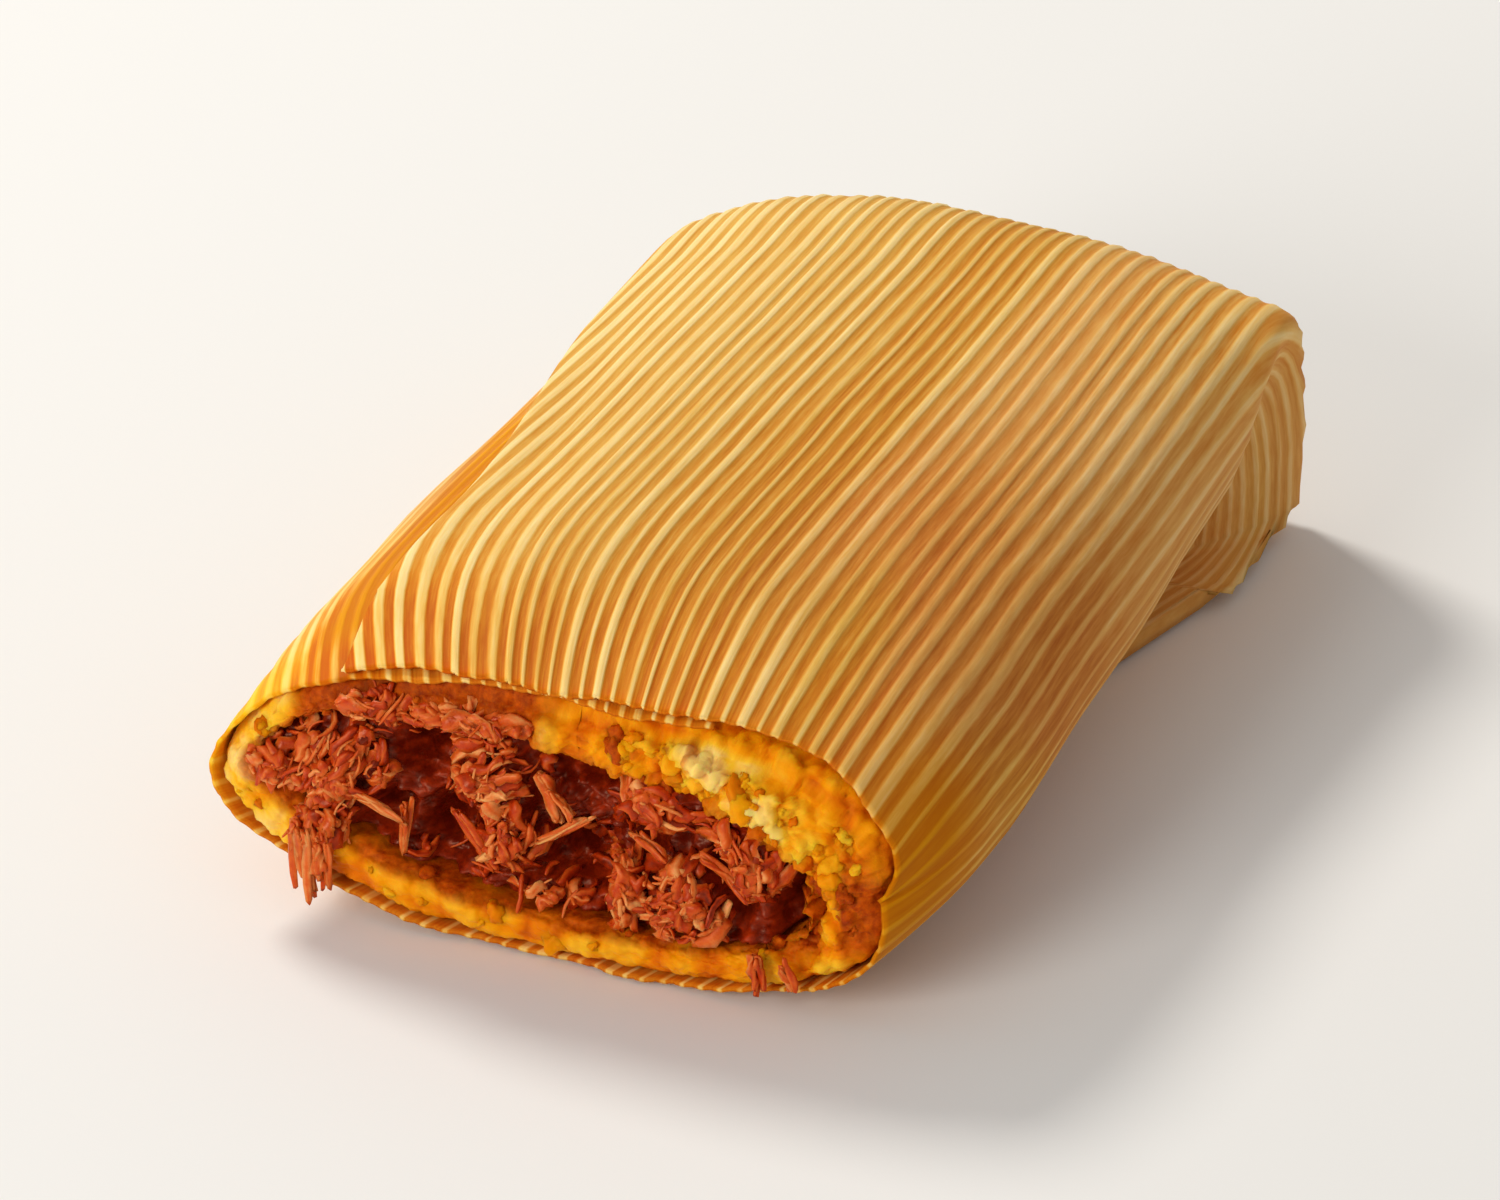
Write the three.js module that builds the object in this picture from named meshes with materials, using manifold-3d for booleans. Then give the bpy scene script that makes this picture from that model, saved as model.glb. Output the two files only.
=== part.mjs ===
// A cut tamale lying flat: a corn husk rolled once round a masa roll with shredded pork in its middle.
// Millimetres, +Z up. X is the width, the cut face looks along -Y, and the folded end is at +Y.
// The husk is one sheet. It starts under its own top layer, goes down the left side, under the food,
// up the right side and over the top to a free edge on the left shoulder. At +Y it folds down over the
// end of the food and back under it, as a flat tail that tapers to the husk's narrow end.
import * as THREE from 'three';
import { mergeVertices } from 'three/addons/utils/BufferGeometryUtils.js';
import Module from 'manifold-3d';

const wasm = await Module();
wasm.setup();

// ---------------------------------------------------------------- driving dimensions
const LENGTH = 94;            // cut face to folded end
const HALF_WIDTH_CUT = 30.5;  // half the width of the food at the cut
const HALF_WIDTH_END = 26.8;  // the same at the folded end
const END_SHIFT = 2.2;        // how far the folded end leans to the right
const LEFT_BULGE = 1.0;       // extra width of the left side
const LEFT_PINCH = 1.5;       // extra width of the left corner at the cut, where the husk is pinched
const RIGHT_TUCK = 5;         // how far the right side is pressed in at the cut
const TUCK_LENGTH = 14;       // length over which the right side comes in
const TOP_HEIGHT = 27.9;      // top of the food in the middle
const TOP_HEIGHT_END = 27.3;  // top of the food at the fold line
const TOP_HEIGHT_CUT = 24.6;  // top of the food at the cut
const CUT_DROP_LENGTH = 20;   // length over which the top comes down to the cut
const END_LENGTH = 18.5;      // length of the food behind the fold line
const END_CORNER = 4;         // how square the folded end is, seen from the side (2 is round)

const SHEET = 0.5;            // thickness of the husk with its ribs
const CLEARANCE = 0.25;       // air between layers, and between husk and masa
const RIB_HEIGHT = 0.16;      // relief of the ribs

const TAIL_LENGTH = 46;       // length of the folded tail under the food
const TAIL_TAPER = 0.52;      // width of the tail's tip as a share of the width at the fold
const TAIL_GAP = 0.1;         // air between the tail's upper and lower layers, besides the clearance
const TAIL_CROWN = 0.12;      // crown of the tail's underside that is pressed flat by the weight
const FRONT_GAP = 0.3;        // height of the husk's front over the surface, as the tail carries it

const MASA_ROOF = 4.9;        // wall of masa over the middle of the pork
const MASA_FLOOR = 3.4;       // wall of masa under it
const MASA_LEFT = 3.8;        // wall of masa at the left corner
const MASA_RIGHT = 7;         // wall of masa at the right side
const MASA_END = 10;          // masa between the end of the pork and the fold line
const MASA_RECESS = 1.7;      // how far the masa's broken face lies behind the cut at the top
const LIP_RECESS = 0.9;       // how far it does at the lower lip
const PORK_ROOF_SLOPE = 0.16; // the top of the pork falls to the right by this much for each mm
const PORK_FLOOR_SLOPE = 0.03; // and its underside by this much
const PORK_CLEARANCE = 0.3;   // air between pork and masa
const PORK_RECESS = 3.2;      // how far the pork's core lies behind the cut

const CUT_Y = -LENGTH / 2;
const END_Y = LENGTH / 2;
const FOLD_Y = END_Y - END_LENGTH;
const FOOD_FLOOR = CLEARANCE + SHEET;
// The tail is the husk folded flat: one layer above, up to two below, and the air between them.
// Its heights are distances from the fold line, which lies under the food.
const TAIL_FLOOR = FOOD_FLOOR + CLEARANCE;
const FOLD_Z = TAIL_FLOOR + TAIL_GAP + 2 * (SHEET + CLEARANCE);

// ---------------------------------------------------------------- small helpers
const clamp = (x) => Math.min(1, Math.max(0, x));
const mix = (a, b, t) => a + (b - a) * t;

function smooth(from, to, x) {
  const t = clamp((x - from) / (to - from));
  return t * t * (3 - 2 * t);
}

function signedPower(value, exponent) {
  return Math.sign(value) * Math.abs(value) ** exponent;
}

// A seeded generator, so that each build gives the same crumbs and shreds.
function seededRandom(seed) {
  let state = seed;
  return () => {
    state = (state * 1664525 + 1013904223) % 4294967296;
    return state / 4294967296;
  };
}

// ---------------------------------------------------------------- the food's outline
// A station is a plane that cuts the food. From 0 to 1 the planes stand upright and move from the cut
// to the fold line. From 1 to 2 they turn by half a circle about the fold line, and from 2 to 3 they
// go forward again under the food. In each plane a point has x and r, its distance from the fold line.
// An outline is four quarter curves between its top, its floor and the creases at its sides.
// top and floor are distances r, left and right are half widths, and a crease is a share of the height.
// The exponents flat and point shape the curves: 1 gives a circle's arc, less squares the side off, and
// more draws it out to a point at the crease. A slope tilts the top or the floor along x, and a tuck
// presses the right side in at its crease.
function station(s) {
  const y = mix(CUT_Y, FOLD_Y, clamp(s));
  const along = (y - CUT_Y) / LENGTH;
  const halfWidth = mix(HALF_WIDTH_CUT, HALF_WIDTH_END, smooth(0.1, 1, along));
  const middle = END_SHIFT * along;
  if (s <= 1) return uprightStation(y, halfWidth, middle);
  if (s <= 2) return foldStation(s - 1, halfWidth, middle);
  return tailStation(s - 2, halfWidth, middle);
}

function uprightStation(y, halfWidth, middle) {
  const drop = clamp(1 - (y - CUT_Y) / CUT_DROP_LENGTH) ** 2;
  const tuck = clamp(1 - (y - CUT_Y) / TUCK_LENGTH) ** 2;
  const back = smooth(0, FOLD_Y, y);
  const lift = smooth(-TAIL_LENGTH * 0.6, -TAIL_LENGTH * 0.2, y);
  return {
    y,
    angle: 0,
    middle,
    top: mix(mix(TOP_HEIGHT, TOP_HEIGHT_CUT, drop), TOP_HEIGHT_END, back) - FOLD_Z,
    floor: mix(FOOD_FLOOR + FRONT_GAP - FOLD_Z, TAIL_FLOOR, lift),
    left: halfWidth + LEFT_BULGE + LEFT_PINCH * drop,
    right: halfWidth,
    tuckRight: RIGHT_TUCK * tuck,
    creaseLeft: 0.52 + 0.08 * back - 0.07 * drop,
    creaseRight: 0.5 + 0.15 * back,
    flatTop: 0.82 - 0.06 * back - 0.07 * drop,
    flatFloor: 0.72,
    pointLeft: 1.05 + 0.15 * drop,
    pointRight: 1 + 0.1 * drop,
    slopeTop: 0,
    slopeFloor: 0,
  };
}

function foldStation(u, halfWidth, middle) {
  const angle = Math.PI * u;
  const height = u <= 0.5 ? TOP_HEIGHT_END - FOLD_Z : TAIL_FLOOR + TAIL_GAP;
  const reach = ((Math.abs(Math.cos(angle)) / height) ** END_CORNER
    + (Math.sin(angle) / END_LENGTH) ** END_CORNER) ** (-1 / END_CORNER);
  const ear = smooth(0, 0.25, u);
  const under = smooth(0.55, 1, u);
  const crease = 0.65 + 0.3 * ear - 0.45 * under;
  return {
    y: FOLD_Y,
    angle,
    middle,
    top: reach,
    floor: TAIL_FLOOR,
    left: halfWidth * (1 - 0.07 * smooth(0.05, 0.35, u) - 0.03 * under) + LEFT_BULGE * (1 - ear),
    right: halfWidth * (1 - 0.03 * smooth(0.05, 0.22, u) - 0.04 * under),
    tuckRight: 0,
    creaseLeft: crease - 0.05 - 0.15 * ear * (1 - under),
    creaseRight: crease,
    flatTop: 0.76,
    flatFloor: 0.72 - 0.25 * ear,
    pointLeft: 1.05 + 0.15 * ear,
    pointRight: 1 + ear,
    slopeTop: 0,
    slopeFloor: 0,
  };
}

function tailStation(u, halfWidth, middle) {
  const width = halfWidth * mix(0.92, TAIL_TAPER, u);
  return {
    y: FOLD_Y - TAIL_LENGTH * u,
    angle: Math.PI,
    middle: middle * (1 - u),
    top: TAIL_FLOOR + TAIL_GAP,
    floor: TAIL_FLOOR,
    left: width,
    right: width,
    tuckRight: 0,
    creaseLeft: 0.5,
    creaseRight: 0.5,
    flatTop: 0.55,
    flatFloor: 0.55,
    pointLeft: 1.2,
    pointRight: 1.2,
    slopeTop: 0,
    slopeFloor: 0,
  };
}

// One turn of the outline, from the top middle to the left, the floor, the right and back.
function outlinePoint(plane, turn) {
  const theta = Math.PI / 2 + turn * 2 * Math.PI;
  const across = Math.cos(theta);
  const up = Math.sin(theta);
  const side = across < 0 ? plane.left : plane.right;
  const tuck = across < 0 ? 0 : plane.tuckRight * (1 - Math.abs(up)) ** 1.5;
  const x = side * signedPower(across, up >= 0 ? plane.flatTop : plane.flatFloor) - tuck;
  const share = (x + plane.left) / (plane.left + plane.right);
  const crease = mix(plane.creaseLeft, plane.creaseRight, share);
  const level = mix(plane.floor, plane.top, crease);
  const reach = up >= 0 ? plane.top - level : level - plane.floor;
  const r = level + reach * signedPower(up, across < 0 ? plane.pointLeft : plane.pointRight);
  return [x + plane.middle, r - x * mix(plane.slopeFloor, plane.slopeTop, 0.5 + 0.5 * up)];
}

// The outline by arc length: at(w) gives the point at w turns, with its outward direction.
const OUTLINE_STEPS = 480;
const DIRECTION_STEP = 0.006;   // turns to each side, between which the direction is taken
function outline(plane) {
  const points = [];
  const lengths = [0];
  for (let k = 0; k <= OUTLINE_STEPS; k += 1) {
    points.push(outlinePoint(plane, k / OUTLINE_STEPS));
    if (k > 0) {
      const step = Math.hypot(points[k][0] - points[k - 1][0], points[k][1] - points[k - 1][1]);
      lengths.push(lengths[k - 1] + step);
    }
  }
  const total = lengths[OUTLINE_STEPS];
  const pick = (w) => {
    const goal = (w - Math.floor(w)) * total;
    let low = 0;
    let high = OUTLINE_STEPS;
    while (high - low > 1) {
      const half = (low + high) >> 1;
      if (lengths[half] <= goal) low = half;
      else high = half;
    }
    const t = (goal - lengths[low]) / Math.max(lengths[high] - lengths[low], 1e-9);
    return [mix(points[low][0], points[high][0], t), mix(points[low][1], points[high][1], t)];
  };
  const at = (w) => {
    const [x, r] = pick(w);
    const [x0, r0] = pick(w - DIRECTION_STEP);
    const [x1, r1] = pick(w + DIRECTION_STEP);
    const size = Math.hypot(x1 - x0, r1 - r0);
    return { x, r, outX: (r1 - r0) / size, outR: (x0 - x1) / size };
  };
  return { plane, at };
}

// A point of a plane in space: x across, and r away from the fold line.
function inSpace(plane, x, r) {
  return [x, plane.y + r * Math.sin(plane.angle), FOLD_Z + r * Math.cos(plane.angle)];
}

// The point at w turns round an outline, d outside it.
function place(loop, w, d) {
  const { x, r, outX, outR } = loop.at(w);
  return inSpace(loop.plane, x + outX * d, r + outR * d);
}

// ---------------------------------------------------------------- closed bodies from grids
function solidFromGrids(vertices, faces) {
  const geometry = new THREE.BufferGeometry();
  geometry.setAttribute('position', new THREE.BufferAttribute(new Float32Array(vertices.flat()), 3));
  geometry.setIndex(faces.flat());
  return mergeVertices(geometry, 1e-5);
}

// Two triangles for each cell of a grid of rows x columns that starts at vertex `first`.
function gridFaces(first, rows, columns, closed, flip) {
  const faces = [];
  const spans = closed ? columns : columns - 1;
  for (let i = 0; i < rows - 1; i += 1) {
    for (let j = 0; j < spans; j += 1) {
      const a = first + i * columns + j;
      const b = first + i * columns + ((j + 1) % columns);
      const c = b + columns;
      const d = a + columns;
      if (flip) faces.push([a, c, b], [a, d, c]);
      else faces.push([a, b, c], [a, c, d]);
    }
  }
  return faces;
}

function toManifold(geometry) {
  const mesh = new wasm.Mesh({
    numProp: 3,
    vertProperties: new Float32Array(geometry.getAttribute('position').array),
    triVerts: new Uint32Array(geometry.getIndex().array),
  });
  return new wasm.Manifold(mesh);
}

function toGeometry(solid) {
  const mesh = solid.getMesh();
  const geometry = new THREE.BufferGeometry();
  geometry.setAttribute('position', new THREE.BufferAttribute(mesh.vertProperties, 3));
  geometry.setIndex(new THREE.BufferAttribute(mesh.triVerts, 1));
  return geometry;
}

// The largest body of a solid, without the loose scraps that a cut can leave.
function largestBody(solid) {
  const bodies = solid.decompose();
  bodies.sort((a, b) => b.volume() - a.volume());
  return bodies[0];
}

// ---------------------------------------------------------------- husk
const HUSK_COLUMNS = 63;
const INNER_EDGE = -0.07;       // where the sheet starts, in turns from the top middle
const FREE_EDGE_CUT = 1.15;     // where it ends at the cut
const FREE_EDGE_END = 1.21;     // where it ends at the fold
const FREE_EDGE_FROM = 0.3;     // how far along the roll it begins to draw down the side
const HUSK_ROWS_Y = [0, 2.5, 5.5, 10, 15, 21, 30, 42, 55, 67];
const HUSK_ROWS_FOLD = [0, 0.11, 0.16, 0.2, 0.25, 0.33, 0.45, 0.515, 0.545, 0.6, 0.78];
const HUSK_ROWS_TAIL = [0, 0.5, 1];

function huskStations() {
  const straight = HUSK_ROWS_Y.map((y) => y / (FOLD_Y - CUT_Y));
  const fold = HUSK_ROWS_FOLD.map((u) => 1 + u);
  const tail = HUSK_ROWS_TAIL.map((u) => 2 + u);
  return [...straight, ...fold, ...tail];
}

// How far the torn edge at the cut lies behind the cut plane, round the sheet. It lies further back
// over the top, most of all at the upper right, where the masa stands out of the husk.
function huskSetback(w) {
  const turn = w < 0.5 ? w + 1 : w;
  const over = smooth(0.72, 0.82, turn) - smooth(1.12, 1.22, turn);
  const shoulder = Math.exp(-(((turn - 0.87) / 0.055) ** 2));
  const wave = 0.25 * Math.sin(w * 41) + 0.15 * Math.sin(w * 97 + 1);
  return 0.9 + 0.3 * over + 2.4 * shoulder + wave;
}

// How far the sheet lies outside the food. It climbs by one layer on the right side, to pass over its
// own start.
function huskLayer(w) {
  return CLEARANCE + (SHEET + CLEARANCE) * smooth(0.64, 0.9, w);
}

function huskSheet() {
  const stations = huskStations();
  const inner = [];
  const outer = [];
  stations.forEach((s) => {
    const freeEdge = mix(FREE_EDGE_CUT, FREE_EDGE_END, smooth(FREE_EDGE_FROM, 1, s));
    for (let j = 0; j < HUSK_COLUMNS; j += 1) {
      const w = mix(INNER_EDGE, freeEdge, j / (HUSK_COLUMNS - 1));
      const trimmed = s < 1 ? s + (1 - s) * huskSetback(w) / (FOLD_Y - CUT_Y) : s;
      const loop = outline(station(trimmed));
      // The ribs are pressed flat under the food.
      const valley = s < 1.5 && j % 2 === 0 ? RIB_HEIGHT : 0;
      const d = huskLayer(w);
      inner.push(place(loop, w, d));
      const outside = place(loop, w, d + SHEET - valley);
      if (s >= 2 && outside[2] < TAIL_CROWN) outside[2] = 0;
      outer.push(outside);
    }
  });
  const rows = stations.length;
  const count = rows * HUSK_COLUMNS;
  const faces = [
    ...gridFaces(0, rows, HUSK_COLUMNS, false, false),
    ...gridFaces(count, rows, HUSK_COLUMNS, false, true),
  ];
  // The four rims that join the two faces of the sheet.
  const rim = (a, b) => faces.push([a, b + count, b], [a, a + count, b + count]);
  for (let j = 0; j < HUSK_COLUMNS - 1; j += 1) {
    rim(j, j + 1);
    rim((rows - 1) * HUSK_COLUMNS + j + 1, (rows - 1) * HUSK_COLUMNS + j);
  }
  for (let i = 0; i < rows - 1; i += 1) {
    rim((i + 1) * HUSK_COLUMNS, i * HUSK_COLUMNS);
    rim(i * HUSK_COLUMNS + HUSK_COLUMNS - 1, (i + 1) * HUSK_COLUMNS + HUSK_COLUMNS - 1);
  }
  return solidFromGrids([...inner, ...outer], faces);
}

// ---------------------------------------------------------------- masa
const MASA_COLUMNS = 40;
const MASA_ROWS_Y = [0, 1.6, 4, 8, 14, 22, 34, 50, 67];
const MASA_ROWS_FOLD = [0.12, 0.18, 0.24, 0.33, 0.47];
const FACE_RINGS = [0.35, 0.7];       // rings of the broken face, from the husk to the pork
const TUNNEL_ROWS_Y = [0, 6, 20, 40];
const TUNNEL_END_Y = FOLD_Y - CUT_Y - MASA_END;
const TUNNEL_LIP = 0.3;               // how far the mouth of the tunnel lies behind the face
const MASA_CRAG = 0.9;                // depth of the crags on the broken face
const MASA_SHOULDER = 0.7;            // how much further back the face lies at the upper right
const MASA_RAGGED = 0.4;              // how far the rim of the face is worn down at random
const MASA_INSET = 0.15;              // how far the masa keeps inside the outline
const MASA_CREASE_INSET = 0.35;       // how much more it does at the husk's crease on the left
const MASA_END_INSET = 0.7;           // the inset in the folded end, whose corners are sharp
const CRUMBS = 16;
const CRUMB_RADIUS = [0.8, 2.2];

// The pork's outline in an upright plane, as a smaller, sloping copy of the food's.
function porkPlane(s, clearance) {
  const plane = station(s);
  return {
    ...plane,
    top: plane.top - MASA_ROOF - clearance,
    floor: plane.floor + MASA_FLOOR + clearance,
    left: plane.left - MASA_LEFT - clearance,
    right: plane.right - MASA_RIGHT - clearance,
    flatTop: 0.8,
    pointLeft: plane.pointLeft + 0.25,
    slopeTop: PORK_ROOF_SLOPE,
    slopeFloor: PORK_FLOOR_SLOPE,
  };
}

function fanFaces(ring, columns, centre, flip) {
  const faces = [];
  for (let j = 0; j < columns; j += 1) {
    const a = ring + j;
    const b = ring + ((j + 1) % columns);
    faces.push(flip ? [a, centre, b] : [a, b, centre]);
  }
  return faces;
}

function middleOf(points) {
  const sum = points.reduce((a, p) => [a[0] + p[0], a[1] + p[1], a[2] + p[2]], [0, 0, 0]);
  return sum.map((v) => v / points.length);
}

// How far the broken face stands back from the cut, round the food.
function masaRecess(w) {
  const top = 0.5 + 0.5 * Math.cos(2 * Math.PI * w);
  const shoulder = Math.exp(-(((w - 0.87) / 0.06) ** 2));
  return mix(LIP_RECESS, MASA_RECESS, top) + MASA_SHOULDER * shoulder;
}

function masaBody(grow) {
  const random = seededRandom(11);
  const straight = FOLD_Y - CUT_Y;
  const vertices = [];
  const columnsAt = [...Array(MASA_COLUMNS).keys()].map((j) => j / MASA_COLUMNS);
  const recess = columnsAt.map((w) => masaRecess(w) + MASA_CRAG * (random() - 0.5) - grow);
  const addRow = (row) => vertices.push(...row);
  // Folded end first, then forward along the outside to the broken face.
  const folded = [...MASA_ROWS_FOLD].reverse().map((u) => columnsAt.map(
    (w) => place(outline(station(1 + u)), w, grow - MASA_END_INSET)));
  folded.forEach(addRow);
  [...MASA_ROWS_Y].reverse().forEach((y) => {
    const ragged = smooth(5, 0, y);
    const endInset = mix(MASA_INSET, MASA_END_INSET, smooth(straight - 14, straight, y));
    addRow(columnsAt.map((w, j) => {
      const inset = endInset + MASA_CREASE_INSET * smooth(0.1, 0, Math.abs(w - 0.24));
      const s = mix(recess[j] / straight, 1, y / straight);
      return place(outline(station(s)), w, grow - inset - ragged * MASA_RAGGED * random());
    }));
  });
  // Over the broken face to the mouth of the tunnel.
  FACE_RINGS.forEach((t) => {
    addRow(columnsAt.map((w, j) => {
      const crag = MASA_CRAG * (random() - 0.6);
      const outside = place(outline(station(0)), w, grow);
      const inside = place(outline(porkPlane(0, grow)), w, 0);
      const y = CUT_Y + recess[j] + crag;
      return [mix(outside[0], inside[0], t), y, mix(outside[2], inside[2], t)];
    }));
  });
  // Back along the tunnel to its end.
  const tunnel = [...TUNNEL_ROWS_Y, TUNNEL_END_Y + grow];
  let last = [];
  tunnel.forEach((y) => {
    last = columnsAt.map((w, j) => {
      const s = Math.max(recess[j] + TUNNEL_LIP, y) / straight;
      return place(outline(porkPlane(s, grow)), w, 0);
    });
    addRow(last);
  });
  const rows = MASA_ROWS_FOLD.length + MASA_ROWS_Y.length + FACE_RINGS.length + tunnel.length;
  const endRing = (rows - 1) * MASA_COLUMNS;
  vertices.push(middleOf(folded[0]), middleOf(last));
  const faces = [
    ...gridFaces(0, rows, MASA_COLUMNS, true, false),
    ...fanFaces(0, MASA_COLUMNS, rows * MASA_COLUMNS, true),
    ...fanFaces(endRing, MASA_COLUMNS, rows * MASA_COLUMNS + 1, false),
  ];
  return toManifold(solidFromGrids(vertices, faces));
}

// A lump with uneven corners, used for crumbs of masa.
function lump(centre, radius, random) {
  const shape = new THREE.IcosahedronGeometry(radius, 0);
  shape.deleteAttribute('normal');
  shape.deleteAttribute('uv');
  const merged = mergeVertices(shape, 1e-4);
  const position = merged.getAttribute('position');
  for (let k = 0; k < position.count; k += 1) {
    const stretch = 0.75 + 0.5 * random();
    position.setXYZ(
      k,
      centre[0] + position.getX(k) * stretch,
      centre[1] + position.getY(k) * stretch,
      centre[2] + position.getZ(k) * stretch,
    );
  }
  return toManifold(merged);
}

// The masa and its crumbs, all grown by the same thickness where it is used to cut the pork free.
function masaWithCrumbs(grow) {
  const random = seededRandom(5);
  let body = masaBody(grow);
  for (let k = 0; k < CRUMBS; k += 1) {
    // Most crumbs lie on the thick upper right wall, the others on the lower lip.
    const w = k % 3 === 0 ? mix(0.4, 0.7, random()) : mix(0.76, 0.95, random());
    const outside = outline(station(0)).at(w);
    const inside = outline(porkPlane(0, 0)).at(w);
    const wall = Math.hypot(outside.x - inside.x, outside.r - inside.r);
    const t = mix(0.45, 0.8, random());
    const radius = Math.min(mix(CRUMB_RADIUS[0], CRUMB_RADIUS[1], random() ** 2), 0.7 * t * wall);
    const depth = masaRecess(w) + 0.2 * radius;
    const spot = inSpace(station(0), mix(outside.x, inside.x, t), mix(outside.r, inside.r, t));
    body = body.add(lump([spot[0], CUT_Y + depth, spot[2]], radius + 1.3 * grow, random));
  }
  return largestBody(body);
}

// ---------------------------------------------------------------- shredded pork
const PORK_COLUMNS = 26;
const PORK_CRAG = 1.4;        // depth of the crags on the broken face
const PORK_LEAN = 0.1;        // the face leans back by this much for each mm of height
const PORK_FACE_RINGS = [0.78, 0.52, 0.26];   // rings of the face, as shares of its rim
const SHRED_LENGTH = [0.8, 1.5];   // lengths of the shreds, as shares of their clump's reach
const SHRED_RADIUS = [0.8, 1.5];
const SHREDS_IN_CLUMP = 3;
const SHRED_SUNK = 1;         // how deep the ends of a shred are sunk in the core
const SHRED_SIDES = 5;
const SHRED_STEPS = 3;

// Clumps of shreds on the broken face: x, z, reach across, how far each stands out of the core, and the
// slope of its shreds in degrees.
const CLUMPS = [
  [-22.5, 14.4, 5, 2.8, 60], [-17.4, 20, 4.6, 1.8, -15], [-23.2, 9.4, 3.6, 2.2, 85],
  [-9, 16.4, 4.6, 2.8, 30], [-6.7, 10.8, 4.2, 2.2, 75], [-17, 6.8, 4, 1.4, 5],
  [3.8, 9, 4.6, 2, 86], [7.4, 16.8, 5, 2.8, -30], [10, 9.2, 5, 3.2, 50],
  [17.6, 8.8, 4.6, 2, 70], [14, 14.8, 3.8, 1.8, -45], [-3, 6.4, 4, 1.2, 10],
];
// Hollows between them: x, z, radius and depth.
const HOLLOWS = [
  [-14.2, 15.6, 2.6, 4], [-18.2, 9.8, 2, 3], [-12.8, 9.4, 2.8, 4.5], [0.2, 17.4, 2.8, 4],
  [-0.8, 9.6, 3.2, 5], [12.8, 12.4, 1.6, 3],
];

// How much deeper than the core's face the meat lies at x, z.
function hollowDepth(x, z) {
  return HOLLOWS.reduce((depth, [atX, atZ, radius, deep]) => {
    const away = Math.hypot(x - atX, z - atZ) / radius;
    return depth + deep * Math.exp(-(away ** 2));
  }, 0);
}

function porkCore() {
  const random = seededRandom(23);
  const straight = FOLD_Y - CUT_Y;
  const columnsAt = [...Array(PORK_COLUMNS).keys()].map((j) => j / PORK_COLUMNS);
  const lengths = [TUNNEL_END_Y - PORK_CLEARANCE, 40, 20, PORK_RECESS];
  const vertices = [];
  lengths.forEach((y) => {
    const loop = outline(porkPlane(y / straight, PORK_CLEARANCE));
    vertices.push(...columnsAt.map((w) => place(loop, w, 0)));
  });
  const back = vertices.slice(0, PORK_COLUMNS);
  const rim = vertices.slice(-PORK_COLUMNS);
  const middle = middleOf(rim);
  rim.forEach((p) => {
    p[1] += PORK_LEAN * (p[2] - middle[2]);
  });
  PORK_FACE_RINGS.forEach((t) => {
    const crag = PORK_CRAG * smooth(0.2, 0.6, t);
    vertices.push(...rim.map((p) => {
      const reach = t * (1 + 0.3 * (random() - 0.5));
      const x = mix(middle[0], p[0], reach);
      const z = mix(middle[2], p[2], reach);
      return [x, mix(middle[1], p[1], reach) + crag * (random() - 0.5) + hollowDepth(x, z), z];
    }));
  });
  vertices.push(middleOf(back), middle);
  const rows = lengths.length + PORK_FACE_RINGS.length;
  const faces = [
    ...gridFaces(0, rows, PORK_COLUMNS, true, false),
    ...fanFaces(0, PORK_COLUMNS, rows * PORK_COLUMNS, true),
    ...fanFaces((rows - 1) * PORK_COLUMNS, PORK_COLUMNS, rows * PORK_COLUMNS + 1, false),
  ];
  return toManifold(solidFromGrids(vertices, faces));
}

// A shred of meat: a strip of a few sides that follows a bent path and thins at both ends.
function shred(from, over, to, radius) {
  const path = new THREE.QuadraticBezierCurve3(
    new THREE.Vector3(...from),
    new THREE.Vector3(...over),
    new THREE.Vector3(...to),
  );
  const frames = path.computeFrenetFrames(SHRED_STEPS, false);
  const vertices = [];
  for (let i = 0; i <= SHRED_STEPS; i += 1) {
    const centre = path.getPoint(i / SHRED_STEPS);
    const thick = radius * (i === 0 || i === SHRED_STEPS ? 0.6 : 1);
    for (let k = 0; k < SHRED_SIDES; k += 1) {
      const turn = (k / SHRED_SIDES) * 2 * Math.PI;
      const point = centre.clone()
        .addScaledVector(frames.normals[i], thick * Math.cos(turn))
        .addScaledVector(frames.binormals[i], 0.7 * thick * Math.sin(turn));
      vertices.push(point.toArray());
    }
  }
  const last = SHRED_STEPS * SHRED_SIDES;
  vertices.push(path.getPoint(0).toArray(), path.getPoint(1).toArray());
  const faces = [
    ...gridFaces(0, SHRED_STEPS + 1, SHRED_SIDES, true, false),
    ...fanFaces(0, SHRED_SIDES, last + SHRED_SIDES, true),
    ...fanFaces(last, SHRED_SIDES, last + SHRED_SIDES + 1, false),
  ];
  return toManifold(solidFromGrids(vertices, faces));
}

// One shred of a clump, near the clump's middle and roughly along its slope.
function clumpShred([x, z, reach, forward, slope], random) {
  const length = reach * mix(SHRED_LENGTH[0], SHRED_LENGTH[1], random());
  const radius = mix(SHRED_RADIUS[0], SHRED_RADIUS[1], random());
  const turn = (slope * Math.PI) / 180 + 1.1 * (random() - 0.5);
  const halfX = 0.5 * length * Math.cos(turn);
  const halfZ = 0.5 * length * Math.sin(turn);
  const middleX = x + 0.5 * reach * (random() - 0.5);
  const middleZ = z + 0.35 * reach * (random() - 0.5);
  // Its ends are sunk in the core, and its middle stands out.
  const ends = CUT_Y + PORK_RECESS + PORK_LEAN * (z - FOLD_Z - 10) + SHRED_SUNK;
  const over = ends - 2 * (SHRED_SUNK + forward * (0.5 + 0.4 * random()));
  return shred(
    [middleX - halfX, ends, middleZ - halfZ],
    [middleX + random() - 0.5, over, middleZ + random() - 0.5],
    [middleX + halfX, ends, middleZ + halfZ],
    radius,
  );
}

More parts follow.
